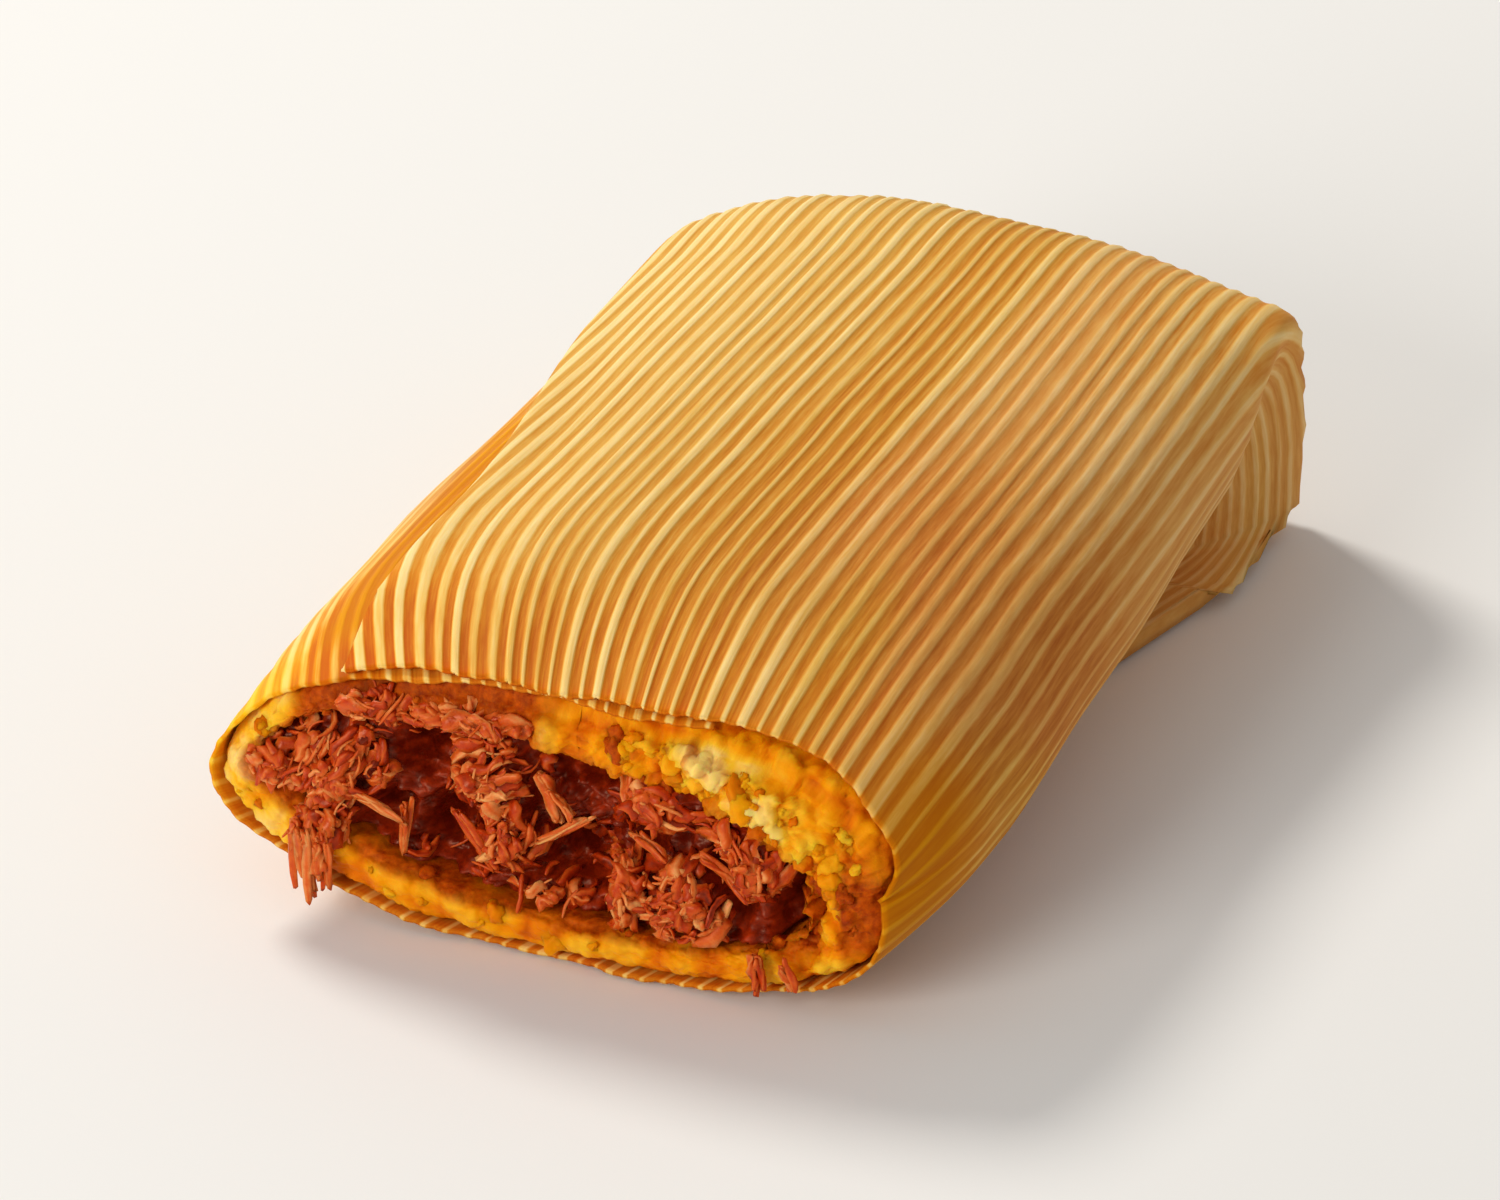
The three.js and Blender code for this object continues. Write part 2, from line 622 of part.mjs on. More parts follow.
function porkWithShreds() {
  const random = seededRandom(31);
  let body = porkCore();
  CLUMPS.forEach((clump) => {
    for (let k = 0; k < SHREDS_IN_CLUMP; k += 1) body = body.add(clumpShred(clump, random));
  });
  const mouth = porkPlane(0, PORK_CLEARANCE);
  // One shred hangs out over the lower lip at the left.
  const lip = outline(mouth).at(0.345);
  const lipZ = FOLD_Z + lip.r;
  body = body.add(shred(
    [lip.x + 1, CUT_Y + PORK_RECESS + 0.5, lipZ + 2.4],
    [lip.x - 0.5, CUT_Y - 3.6, lipZ + 3.4],
    [lip.x + 0.4, CUT_Y - 1.9, lipZ - 4.6],
    1.2,
  ));
  return largestBody(body.subtract(masaWithCrumbs(PORK_CLEARANCE)));
}

// ---------------------------------------------------------------- the tamale
const huskMaterial = new THREE.MeshStandardMaterial({ color: 0xdcb06c, roughness: 0.55, metalness: 0 });
const masaMaterial = new THREE.MeshStandardMaterial({ color: 0xe3932a, roughness: 0.7, metalness: 0 });
const porkMaterial = new THREE.MeshStandardMaterial({ color: 0x7c2a18, roughness: 0.45, metalness: 0 });

function namedMesh(name, geometry, material) {
  const mesh = new THREE.Mesh(geometry, material);
  mesh.name = name;
  return mesh;
}

const part = new THREE.Group();
part.add(namedMesh('husk', huskSheet(), huskMaterial));
part.add(namedMesh('masa', toGeometry(masaWithCrumbs(0)), masaMaterial));
part.add(namedMesh('pork', toGeometry(porkWithShreds()), porkMaterial));

// The origin is under the middle of the whole, on the surface that it rests on.
const box = new THREE.Box3().setFromObject(part);
part.position.set(-(box.min.x + box.max.x) / 2, -(box.min.y + box.max.y) / 2, -box.min.z);
part.updateMatrixWorld(true);

export default part;
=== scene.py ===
from math import pi, radians

import bpy
import numpy as np
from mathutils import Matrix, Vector, noise


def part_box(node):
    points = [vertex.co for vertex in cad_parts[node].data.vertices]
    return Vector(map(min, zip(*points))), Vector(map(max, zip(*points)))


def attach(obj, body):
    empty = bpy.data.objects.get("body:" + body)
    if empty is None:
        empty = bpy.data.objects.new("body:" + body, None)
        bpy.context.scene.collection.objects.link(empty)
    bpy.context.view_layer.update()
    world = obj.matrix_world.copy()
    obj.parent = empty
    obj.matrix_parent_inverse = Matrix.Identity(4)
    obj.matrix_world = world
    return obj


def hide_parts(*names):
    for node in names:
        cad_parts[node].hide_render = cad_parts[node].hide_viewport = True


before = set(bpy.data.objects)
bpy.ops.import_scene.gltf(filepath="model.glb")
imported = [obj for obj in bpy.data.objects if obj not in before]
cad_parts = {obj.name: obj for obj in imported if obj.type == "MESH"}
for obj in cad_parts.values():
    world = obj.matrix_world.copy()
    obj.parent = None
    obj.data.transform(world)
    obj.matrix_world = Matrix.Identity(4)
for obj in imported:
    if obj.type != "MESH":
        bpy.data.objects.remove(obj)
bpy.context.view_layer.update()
bpy.ops.object.select_all(action="DESELECT")
MM = 0.001


# ---------------------------------------------------------------- the shape of the roll
# The masa is patted into a flat roll, and husk and filling follow its outline. A plane that cuts the
# roll stands upright from the cut (s = 0) to the fold (s = 1), turns half a circle round the fold line
# (s = 2), and goes forward again under the food to the tip of the husk's tail (s = 3).
CUT_Y = -47.0
FOLD_Y = 28.5
END_LENGTH = 18.5
END_CORNER = 4
ROLL_LENGTH = FOLD_Y + END_LENGTH - CUT_Y
HALF_WIDTH_CUT, HALF_WIDTH_END = 30.5, 26.8
END_SHIFT = 2.2
TOP_HEIGHT, TOP_HEIGHT_END, TOP_HEIGHT_CUT = 27.9, 27.3, 24.6
CUT_DROP_LENGTH = 20.0
RIGHT_TUCK, TUCK_LENGTH = 5.0, 14.0
AIR = 0.25
SHEET = 0.5
TAIL_LENGTH, TAIL_TAPER, TAIL_GAP, FRONT_GAP = 46.0, 0.52, 0.1, 0.3
FOOD_FLOOR = AIR + SHEET
TAIL_FLOOR = FOOD_FLOOR + AIR
FOLD_Z = TAIL_FLOOR + TAIL_GAP + 2 * (SHEET + AIR)
STRAIGHT = FOLD_Y - CUT_Y
# The turns from the top middle, round to the left, over which the husk's outer layer climbs on its inner.
LAYER_START, LAYER_END = 0.64, 0.9


def mix(a, b, t):
    return a + (b - a) * t


def smooth(start, end, x):
    t = np.clip((x - start) / (end - start), 0, 1)
    return t * t * (3 - 2 * t)


def bell(x, middle, width):
    return np.exp(-(((x - middle) / width) ** 2))


def half_width(y):
    return mix(HALF_WIDTH_CUT, HALF_WIDTH_END, smooth(0.1, 1, (y - CUT_Y) / ROLL_LENGTH))


def upright(y):
    """The planes across the roll, from the cut to the fold."""
    drop = np.clip(1 - (y - CUT_Y) / CUT_DROP_LENGTH, 0, 1) ** 2
    tuck = np.clip(1 - (y - CUT_Y) / TUCK_LENGTH, 0, 1) ** 2
    back = smooth(0, FOLD_Y, y)
    lift = smooth(-TAIL_LENGTH * 0.6, -TAIL_LENGTH * 0.2, y)
    return dict(
        y=y, angle=0 * y, middle=END_SHIFT * (y - CUT_Y) / ROLL_LENGTH,
        top=mix(mix(TOP_HEIGHT, TOP_HEIGHT_CUT, drop), TOP_HEIGHT_END, back) - FOLD_Z,
        floor=mix(FOOD_FLOOR + FRONT_GAP - FOLD_Z, TAIL_FLOOR, lift),
        left=half_width(y) + 1 + 1.5 * drop, right=half_width(y), tuck_right=RIGHT_TUCK * tuck,
        crease_left=0.52 + 0.08 * back - 0.07 * drop, crease_right=0.5 + 0.15 * back,
        flat_top=0.82 - 0.06 * back - 0.07 * drop, flat_floor=0.72 + 0 * y,
        point_left=1.05 + 0.15 * drop, point_right=1 + 0.1 * drop,
        slope_top=0 * y, slope_floor=0 * y)


def folded(u):
    """The planes round the fold: u is 0 upright, 0.5 level and 1 back under the food."""
    height = np.where(u <= 0.5, TOP_HEIGHT_END - FOLD_Z, TAIL_FLOOR + TAIL_GAP)
    reach = ((np.abs(np.cos(pi * u)) / height) ** END_CORNER
             + (np.sin(pi * u) / END_LENGTH) ** END_CORNER) ** (-1 / END_CORNER)
    ear = smooth(0, 0.25, u)
    under = smooth(0.55, 1, u)
    crease = 0.65 + 0.3 * ear - 0.45 * under
    wide = half_width(FOLD_Y)
    return dict(
        y=FOLD_Y + 0 * u, angle=pi * u, middle=END_SHIFT * STRAIGHT / ROLL_LENGTH + 0 * u,
        top=reach, floor=TAIL_FLOOR + 0 * u,
        left=wide * (1 - 0.07 * smooth(0.05, 0.35, u) - 0.03 * under) + 1 - ear,
        right=wide * (1 - 0.03 * smooth(0.05, 0.22, u) - 0.04 * under), tuck_right=0 * u,
        crease_left=crease - 0.05 - 0.15 * ear * (1 - under), crease_right=crease,
        flat_top=0.76 + 0 * u, flat_floor=0.72 - 0.25 * ear,
        point_left=1.05 + 0.15 * ear, point_right=1 + ear,
        slope_top=0 * u, slope_floor=0 * u)


def tail(u):
    """The planes of the flat tail, from the fold to its tip."""
    wide = half_width(FOLD_Y) * mix(0.92, TAIL_TAPER, u)
    same = 0 * u
    return dict(
        y=FOLD_Y - TAIL_LENGTH * u, angle=pi + same,
        middle=END_SHIFT * STRAIGHT / ROLL_LENGTH * (1 - u),
        top=TAIL_FLOOR + TAIL_GAP + same, floor=TAIL_FLOOR + same, left=wide, right=wide,
        tuck_right=same, crease_left=0.5 + same, crease_right=0.5 + same,
        flat_top=0.55 + same, flat_floor=0.55 + same,
        point_left=1.2 + same, point_right=1.2 + same, slope_top=same, slope_floor=same)


ROUND_STEPS = 480


def outline_table(plane):
    """The outlines of a row of planes, each in ROUND_STEPS equal steps from the top middle leftwards."""
    plane = {name: value[:, None] for name, value in plane.items()}
    theta = pi / 2 + np.linspace(0, 2 * pi, ROUND_STEPS + 1)[None, :]
    across, up = np.cos(theta), np.sin(theta)
    side = np.where(across < 0, plane["left"], plane["right"])
    flat = np.where(up >= 0, plane["flat_top"], plane["flat_floor"])
    tuck = np.where(across < 0, 0, plane["tuck_right"] * (1 - np.abs(up)) ** 1.5)
    x = side * np.sign(across) * np.abs(across) ** flat - tuck
    share = (x + plane["left"]) / (plane["left"] + plane["right"])
    level = mix(plane["floor"], plane["top"], mix(plane["crease_left"], plane["crease_right"], share))
    reach = np.where(up >= 0, plane["top"] - level, level - plane["floor"])
    point = np.where(across < 0, plane["point_left"], plane["point_right"])
    r = level + reach * np.sign(up) * np.abs(up) ** point
    r = r - x * mix(plane["slope_floor"], plane["slope_top"], 0.5 + 0.5 * up)
    x = x + plane["middle"]
    step = np.hypot(np.diff(x, axis=1), np.diff(r, axis=1))
    length = np.concatenate([np.zeros((len(x), 1)), np.cumsum(step, axis=1)], axis=1)
    even = np.linspace(0, 1, ROUND_STEPS + 1)
    for row in range(len(x)):
        goal = even * length[row, -1]
        x[row], r[row] = np.interp(goal, length[row], x[row]), np.interp(goal, length[row], r[row])
    return dict(x=x, r=r, y=plane["y"][:, 0], angle=plane["angle"][:, 0], round=length[:, -1])


def joined(tables):
    return {name: np.concatenate([t[name] for t in tables]) for name in tables[0]}


def look_up(table, at, w):
    """Bilinear look-up of x, r, y and angle: `at` counts the table's rows and w the turns."""
    low = np.clip(np.floor(at).astype(int), 0, len(table["y"]) - 2)
    t = at - low
    column = (w - np.floor(w)) * ROUND_STEPS
    c = np.minimum(column.astype(int), ROUND_STEPS - 1)
    f = column - c
    found = [mix(mix(table[n][low, c], table[n][low, c + 1], f),
                 mix(table[n][low + 1, c], table[n][low + 1, c + 1], f), t) for n in ("x", "r")]
    return found + [mix(table[n][low], table[n][low + 1], t) for n in ("y", "angle")]


DIRECTION_STEP = 0.006


def placed(table, at, w, out):
    """Points in millimetres: row `at`, w turns round, and `out` outside the outline."""
    x, r, y, angle = look_up(table, at, w)
    x0, r0, _, _ = look_up(table, at, w - DIRECTION_STEP)
    x1, r1, _, _ = look_up(table, at, w + DIRECTION_STEP)
    size = np.hypot(x1 - x0, r1 - r0)
    x = x + out * (r1 - r0) / size
    r = r + out * (x0 - x1) / size
    return np.stack([x, y + r * np.sin(angle), FOLD_Z + r * np.cos(angle)], axis=-1)


# Rows of the table: half a millimetre apart along the roll, a degree apart round the fold.
ROWS_STRAIGHT, ROWS_FOLD, ROWS_TAIL, FOLD_LAST = 134, 140, 24, 0.78
roll = joined([
    outline_table(upright(np.linspace(CUT_Y, FOLD_Y, ROWS_STRAIGHT, endpoint=False))),
    outline_table(folded(np.linspace(0, FOLD_LAST, ROWS_FOLD))),
    outline_table(tail(np.linspace(0, 1, ROWS_TAIL))),
])


def row_at(s):
    """Where the plane s (0 to 3) lies among the table's rows."""
    knots = [0, 1, 1 + FOLD_LAST, 2, 3]
    rows = [0, ROWS_STRAIGHT, ROWS_STRAIGHT + ROWS_FOLD - 1, ROWS_STRAIGHT + ROWS_FOLD,
            ROWS_STRAIGHT + ROWS_FOLD + ROWS_TAIL - 1]
    return np.interp(s, knots, rows)


def on_roll(s, w, out):
    return placed(roll, row_at(s), w, out)


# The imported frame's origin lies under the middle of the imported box, so the roll is moved into it.
probe_s, probe_w = np.meshgrid(np.linspace(0.012, 1.5, 90), np.linspace(0, 1, 241))
probe = on_roll(probe_s, probe_w, (AIR + SHEET) * (1 + smooth(LAYER_START, LAYER_END, probe_w)))
husk_low, husk_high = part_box("husk")
SHIFT = np.array([
    (husk_low.x + husk_high.x) / 2 / MM - (probe[..., 0].min() + probe[..., 0].max()) / 2,
    husk_high.y / MM - probe[..., 1].max(),
    0.0,
])


# ---------------------------------------------------------------- masa
# Steamed maize dough, coloured orange by the chilli sauce. It is one body spread round the filling, so
# it has a tunnel, and at the cut it has broken rather than sliced, with lumps and loose crumbs.
MASA_ROOF, MASA_FLOOR, MASA_LEFT, MASA_RIGHT, MASA_END = 4.9, 3.4, 3.8, 7.0, 10.0
MASA_RECESS, MASA_SHOULDER, LIP_RECESS, MASA_END_INSET = 1.7, 0.7, 0.9, 0.7
# Lumps of dough that stand out of the thick wall: x, z, radius, and how far each stands forward.
MASA_LUMPS = [
    (17.0, 20.4, 2.6, 2.1), (13.0, 23.6, 2.6, 1.5), (10.6, 22.0, 2.0, 1.2), (19.4, 17.2, 2.2, 1.5),
    (7.0, 23.4, 1.8, 0.9), (-2.0, 22.6, 1.8, 1.2), (-3.6, 20.8, 1.2, 0.7), (14.6, 18.4, 1.5, 0.9),
    (22.7, 13.0, 1.2, 0.9), (23.2, 8.6, 1.1, 0.8), (-30.8, 12.4, 2.2, 0.5), (2.0, 3.6, 2.4, 0.5),
    (-10.0, 4.8, 2.6, 0.5), (10.5, 3.6, 2.2, 0.5), (22.6, 4.6, 1.8, 0.6),
]
# A hollow beside the filling, full of sauce: x, z, radius across and up, and depth.
SAUCE_HOLLOW = (19.6, 9.6, 2.6, 4.2, 3.6)
PORK_ROOF_SLOPE, PORK_FLOOR_SLOPE = 0.16, 0.03
TUNNEL_LENGTH = STRAIGHT - MASA_END
MASA_COLUMNS = 600
FACE_RINGS = 36


def filling(y, inset):
    """The outline of the filling, which is a smaller and sloping copy of the roll's."""
    plane = upright(y)
    plane["top"] = plane["top"] - MASA_ROOF - inset
    plane["floor"] = plane["floor"] + MASA_FLOOR + inset
    plane["left"] = plane["left"] - MASA_LEFT - inset
    plane["right"] = plane["right"] - MASA_RIGHT - inset
    plane.update(flat_top=0.8 + 0 * y, point_left=plane["point_left"] + 0.25,
                 slope_top=PORK_ROOF_SLOPE + 0 * y, slope_floor=PORK_FLOOR_SLOPE + 0 * y)
    return plane


FILLING_ROWS = 60
filling_roll = outline_table(filling(np.linspace(CUT_Y, FOLD_Y, FILLING_ROWS), 0))


def on_filling(y, w, out):
    """A point of the filling's outline, y millimetres behind the cut."""
    return placed(filling_roll, y / STRAIGHT * (FILLING_ROWS - 1), w, out)


def noise_at(points, size, seed):
    """Smooth noise from -1 to 1 at an array of points, with lumps of about the given size."""
    offset = Vector((seed * 7.13, seed * 3.71, seed * 5.37))
    flat = np.asarray(points, float).reshape(-1, 3) / size
    values = [noise.noise(Vector(p) + offset) for p in flat.tolist()]
    return np.array(values).reshape(np.asarray(points).shape[:-1])


def lumps_at(points, size, seed):
    """Rounded lumps with sharp creases between them, from 0 in a crease to 1 on a lump."""
    offset = Vector((seed * 4.19, seed * 8.23, seed * 2.91))
    flat = np.asarray(points, float).reshape(-1, 3) / size
    nearest = [noise.voronoi(Vector(p) + offset)[0][0] for p in flat.tolist()]
    height = 1 - np.clip(np.array(nearest) / 0.75, 0, 1) ** 2
    return height.reshape(np.asarray(points).shape[:-1])


def mound(x, z, middle_x, middle_z, wide, high, power):
    """1 in the middle of a round patch of the cut face, falling to 0 round it."""
    return np.exp(-(((x - middle_x) / wide) ** 2 + ((z - middle_z) / high) ** 2) ** power)


def pole(row):
    """The middle of a row of points, repeated along the row, which closes the grid beside it."""
    return np.broadcast_to(row.mean(axis=0), (1, *row.shape))


def grid_normals(places):
    """Unit normals of a grid of points that is closed across its rows."""
    ring = np.concatenate([places[:, -2:-1], places, places[:, 1:2]], axis=1)
    normal = np.cross(ring[:, 2:] - ring[:, :-2], np.gradient(places, axis=0))
    return normal / np.maximum(np.linalg.norm(normal, axis=-1, keepdims=True), 1e-9)


def vertices_of(mesh):
    flat = np.empty(len(mesh.vertices) * 3)
    mesh.vertices.foreach_get("co", flat)
    return flat.reshape(-1, 3)


def set_marks(mesh, marks):
    """Gives the vertices of a mesh their values of named marks, which the materials read."""
    for mark, values in marks.items():
        layer = mesh.attributes.new(mark, "FLOAT", "POINT")
        layer.data.foreach_set("value", np.asarray(values, np.float32).ravel())


def grid_piece(name, places, marks):
    """A grid primitive whose vertices are moved to the places, with its marks."""
    rows, columns = places.shape[:2]
    bpy.ops.mesh.primitive_grid_add(x_subdivisions=columns - 1, y_subdivisions=rows - 1, size=2)
    piece = bpy.context.object
    piece.name = name
    flat = vertices_of(piece.data)
    column = np.rint((flat[:, 0] + 1) / 2 * (columns - 1)).astype(int)
    row = np.rint((flat[:, 1] + 1) / 2 * (rows - 1)).astype(int)
    piece.data.vertices.foreach_set("co", ((places[row, column] + SHIFT) * MM).ravel())
    set_marks(piece.data, {mark: values[row, column] for mark, values in marks.items()})
    piece.data.update()
    return piece


def select_only(*pieces):
    """Selects these pieces and no other, with the last of them active."""
    bpy.ops.object.select_all(action="DESELECT")
    for piece in pieces:
        piece.select_set(True)
    bpy.context.view_layer.objects.active = pieces[-1]


def close_seams(piece, within=0.001 * MM):
    """Merges the vertices that lie together, at seams and poles, and turns the faces outwards."""
    select_only(piece)
    bpy.ops.object.mode_set(mode="EDIT")
    bpy.ops.mesh.select_all(action="SELECT")
    bpy.ops.mesh.remove_doubles(threshold=within)
    bpy.ops.mesh.normals_make_consistent(inside=False)
    bpy.ops.object.mode_set(mode="OBJECT")
    bpy.ops.object.shade_smooth()


def husk_setback(w):
    """How far the torn edge of the husk lies behind the cut, round the sheet."""
    turn = np.where(w < 0.5, w + 1, w)
    over = smooth(0.72, 0.82, turn) - smooth(1.12, 1.22, turn)
    wave = 0.25 * np.sin(w * 41) + 0.15 * np.sin(w * 97 + 1)
    return 0.9 + 0.3 * over + 2.4 * bell(turn, 0.87, 0.055) + wave


# Rows of the body: shares of the half turn round the folded end, then millimetres behind the cut along
# the sides, and millimetres behind the broken face into the tunnel.
masa_w = np.linspace(0, 1, MASA_COLUMNS + 1)[None, :]
end_rows = np.array([0.47, 0.4, 0.33, 0.28, 0.24, 0.2, 0.17, 0.14, 0.11, 0.06])[:, None]
side_rows = np.array([67, 58, 48, 40, 33, 27, 22, 18, 14.5, 12, 10, 8.5, 7.2, 6, 5, 4.2, 3.4, 2.7,
                      2.1, 1.6, 1.2, 0.8, 0.5, 0.2])[:, None]
tunnel_rows = np.array([0.4, 0.9, 1.5, 2.3, 3.2, 4.5, 6, 8, 12, 22, 40, TUNNEL_LENGTH])[:, None]

# The broken edge stands back from the cut: least at the lower lip, most at the thick upper right wall.
edge_points = on_roll(0 * masa_w, masa_w, 0)
edge_depth = mix(LIP_RECESS, MASA_RECESS, 0.5 + 0.5 * np.cos(2 * pi * masa_w))
edge_depth = edge_depth + MASA_SHOULDER * bell(masa_w, 0.87, 0.06)
edge_depth = edge_depth + 0.35 * noise_at(edge_points, 5, 1) + 0.2 * noise_at(edge_points, 1.8, 2)
ends = on_roll(1 + end_rows, masa_w, -MASA_END_INSET)
side_inset = mix(-0.1, MASA_END_INSET, smooth(STRAIGHT - 14, STRAIGHT, side_rows))
side_inset = side_inset + 0.35 * smooth(0.1, 0, np.abs(masa_w - 0.24)) * smooth(0, 9, side_rows)
side_inset = side_inset + 0.6 * smooth(1.3, 0, side_rows) ** 2
sides = on_roll(mix(edge_depth / STRAIGHT, 1, side_rows / STRAIGHT), masa_w, -side_inset)
ring_t = ((np.arange(FACE_RINGS) + 0.5) / FACE_RINGS)[:, None]
face = mix(on_roll(0 * masa_w, masa_w, -0.6), on_filling(0 * masa_w, masa_w, 0), ring_t[..., None])
face_depth = edge_depth - 0.4 * np.sin(pi * ring_t) + 0.5 * smooth(0.8, 1, ring_t)
lumped = 0 * face_depth
for lump_x, lump_z, wide, forward in MASA_LUMPS:
    lumped = lumped + forward * mound(face[..., 0], face[..., 2], lump_x, lump_z, wide, wide, 1.5)
hollow_x, hollow_z, wide, high, hollow_depth = SAUCE_HOLLOW
hollow = mound(face[..., 0], face[..., 2], hollow_x, hollow_z, wide, high, 1.5)
face_depth = face_depth - lumped * smooth(0, 0.15, ring_t) * smooth(1, 0.85, ring_t)
face[..., 1] = CUT_Y + face_depth + hollow_depth * hollow * smooth(0, 0.3, ring_t)
tunnel = on_filling(np.maximum(edge_depth + 0.5, 0) * smooth(8, 0, tunnel_rows) + tunnel_rows, masa_w, 0)
masa_places = np.concatenate([pole(ends[0]), ends, sides, face, tunnel, pole(tunnel[-1])])

# Lumps of three sizes push the broken surface in and out, most where the wall is thick. Under the husk
# it stays smooth.
first_side = 1 + len(ends)
first_face = first_side + len(sides)
on_face = slice(first_face, first_face + FACE_RINGS)
crumbly = 0.5 + 0.6 * bell(masa_w, 0.88, 0.13) - 0.2 * bell(masa_w, 0.5, 0.15)
broken = np.zeros(masa_places.shape[:2])
broken[on_face] = crumbly
broken[first_side:first_face] = crumbly * smooth(2.5, 0, side_rows + edge_depth - husk_setback(masa_w))
broken[on_face.stop:-1] = smooth(9, 1, tunnel_rows) * crumbly
stir = np.where(broken > 0)
points = masa_places[stir]
large_lumps = lumps_at(points, 2.6, 3)
relief = (0.9 * (large_lumps - 0.5) + 0.75 * (lumps_at(points, 1.1, 4) - 0.5)
          + 0.35 * (lumps_at(points, 0.5, 5) - 0.5) + 0.3 * noise_at(points, 2.0, 6))
outward = grid_normals(masa_places)
if (outward[first_face + FACE_RINGS // 2, :, 1] > 0).mean() > 0.5:
    outward = -outward
masa_places[stir] += outward[stir] * (relief * broken[stir])[:, None]

# Sauce has soaked into the dough beside the filling, through the thin roof at the left, in spots at the top
# and, deepest of all, into the hollow at the right, where the darkest colour is partly painted shade. The
# right rim takes the same sauce colour as painted shade.
masa_x, masa_z, behind_cut = masa_places[..., 0], masa_places[..., 2], masa_places[..., 1] - CUT_Y
sauce_and_shade = np.zeros(masa_places.shape[:2])
left_wall = bell(masa_w, 0.25, 0.06)
sauce_and_shade[on_face] = smooth(0, 1, (ring_t - 0.45 + 0.3 * left_wall) / (0.55 - 0.1 * left_wall))
sauce_and_shade[on_face.stop:] = 1
near_cut = smooth(9, 2, behind_cut)
thin_roof = smooth(3, -8, masa_x) * smooth(-29, -23, masa_x) * smooth(15, 19, masa_z) * near_cut
# Painted shade: the right rim takes the sauce colour so that it looks darker, as in shade.
right_rim_shade = smooth(22.9, 24.2, masa_x) * bell(masa_z, 11.5, 6) * near_cut
sauce_and_shade = np.maximum(sauce_and_shade, np.maximum(1.42 * thin_roof, 1.2 * right_rim_shade))
# The hollow takes the darkest colour, partly sauce and partly painted shade in the recess.
sauce_and_shade[on_face] = np.maximum(sauce_and_shade[on_face], 2.1 * hollow)
top_middle = np.broadcast_to(bell(masa_w, 0.96, 0.07), broken.shape)[stir]
spots = smooth(0.05, 0.35, noise_at(points, 1.4, 9))
sauce_and_shade[stir] = np.maximum(sauce_and_shade[stir], 0.85 * top_middle * spots)
# The pale mark: paler dough, partly its own tone and partly painted light on the tops of the large lumps
# and on the lumps that stand forward, with painted shade in the creases between, and a painted glow at the
# left tip.
pale_and_lit = np.zeros(masa_places.shape[:2])
pale_and_lit[stir] = 0.75 * large_lumps
pale_and_lit[on_face] += 0.4 * lumped
pale_and_lit += 0.55 * smooth(-24, -28, masa_x)
masa = grid_piece("masa_body", masa_places, {"sauce_and_shade": sauce_and_shade, "pale_and_lit": pale_and_lit})
close_seams(masa)


def add_object(name, data):
    made = bpy.data.objects.new(name, data)
    bpy.context.collection.objects.link(made)
    return made


def joined_mesh(name, base, copies, marks):
    """One mesh of many copies of a base mesh: copies is a list of arrays of its moved vertices."""
    faces = np.array([list(p.vertices) for p in base.polygons])
    all_faces = np.concatenate([faces + k * len(base.vertices) for k in range(len(copies))])
    mesh = bpy.data.meshes.new(name)
    mesh.from_pydata(((np.concatenate(copies) + SHIFT) * MM).tolist(), [], all_faces.tolist())
    set_marks(mesh, marks)
    mesh.polygons.foreach_set("use_smooth", np.ones(len(mesh.polygons), bool))
    mesh.update()
    return add_object(name, mesh)


def pattern_from(shape):
    """The triangulated mesh of an object, without the object: the pattern that copies are made from."""
    select_only(shape)
    bpy.ops.object.mode_set(mode="EDIT")
    bpy.ops.mesh.select_all(action="SELECT")
    bpy.ops.mesh.quads_convert_to_tris()
    bpy.ops.object.mode_set(mode="OBJECT")
    mesh = shape.data
    bpy.data.objects.remove(shape)
    return mesh


def turned(random):
    """A random turn, as a matrix."""
    q = random.normal(size=4)
    w, x, y, z = q / np.linalg.norm(q)
    return np.array([
        [1 - 2 * (y * y + z * z), 2 * (x * y - z * w), 2 * (x * z + y * w)],
        [2 * (x * y + z * w), 1 - 2 * (x * x + z * z), 2 * (y * z - x * w)],
        [2 * (x * z - y * w), 2 * (y * z + x * w), 1 - 2 * (x * x + y * y)],
    ])


# Crumbs lie on the broken face, most of them on the thick upper right wall.
CRUMBS = 90
crumb_random = np.random.default_rng(17)
bpy.ops.mesh.primitive_ico_sphere_add(subdivisions=3, radius=1)
crumb_mesh = pattern_from(bpy.context.object)
crumb_points = vertices_of(crumb_mesh)


def crumb(centre, radius, random, seed):
    shape = crumb_points * (1 + 0.5 * noise_at(crumb_points, 0.8, seed)
                            + 0.25 * noise_at(crumb_points, 0.35, seed + 3))[:, None]
    shape = shape * (0.7 + 0.6 * random.random(3))
    return shape @ turned(random).T * radius + centre


crumbs, crumb_pale, crumb_sauce_and_shade = [], [], []
for k in range(CRUMBS):
    thick_wall = k % 10 < 6
    w = crumb_random.uniform(0.74, 0.98) if thick_wall else crumb_random.uniform(0.0, 1.0)
    ring = crumb_random.uniform(0.08, 0.95)
    row, column = first_face + int(ring * FACE_RINGS), int((w % 1) * MASA_COLUMNS)
    radius = mix(0.35, 1.3, crumb_random.random() ** 2.2)
    centre = masa_places[row, column] + [0, 0.4 * radius, 0]
    crumbs.append(crumb(centre, radius, crumb_random, 50 + k % 40))
    # Crumbs on stained dough, or on the right rim's painted shade, take that colour too.
    stained = sauce_and_shade[row, column] > 0.8
    crumb_pale.append(np.full(len(crumb_points), 0.0 if stained else 0.1 + 0.6 * crumb_random.random()))
    crumb_sauce_and_shade.append(np.full(len(crumb_points), 1.2 if stained else 0.8 * crumb_random.random() ** 2))
masa_crumbs = joined_mesh("masa_crumbs", crumb_mesh, crumbs, {"sauce_and_shade": crumb_sauce_and_shade, "pale_and_lit": crumb_pale})


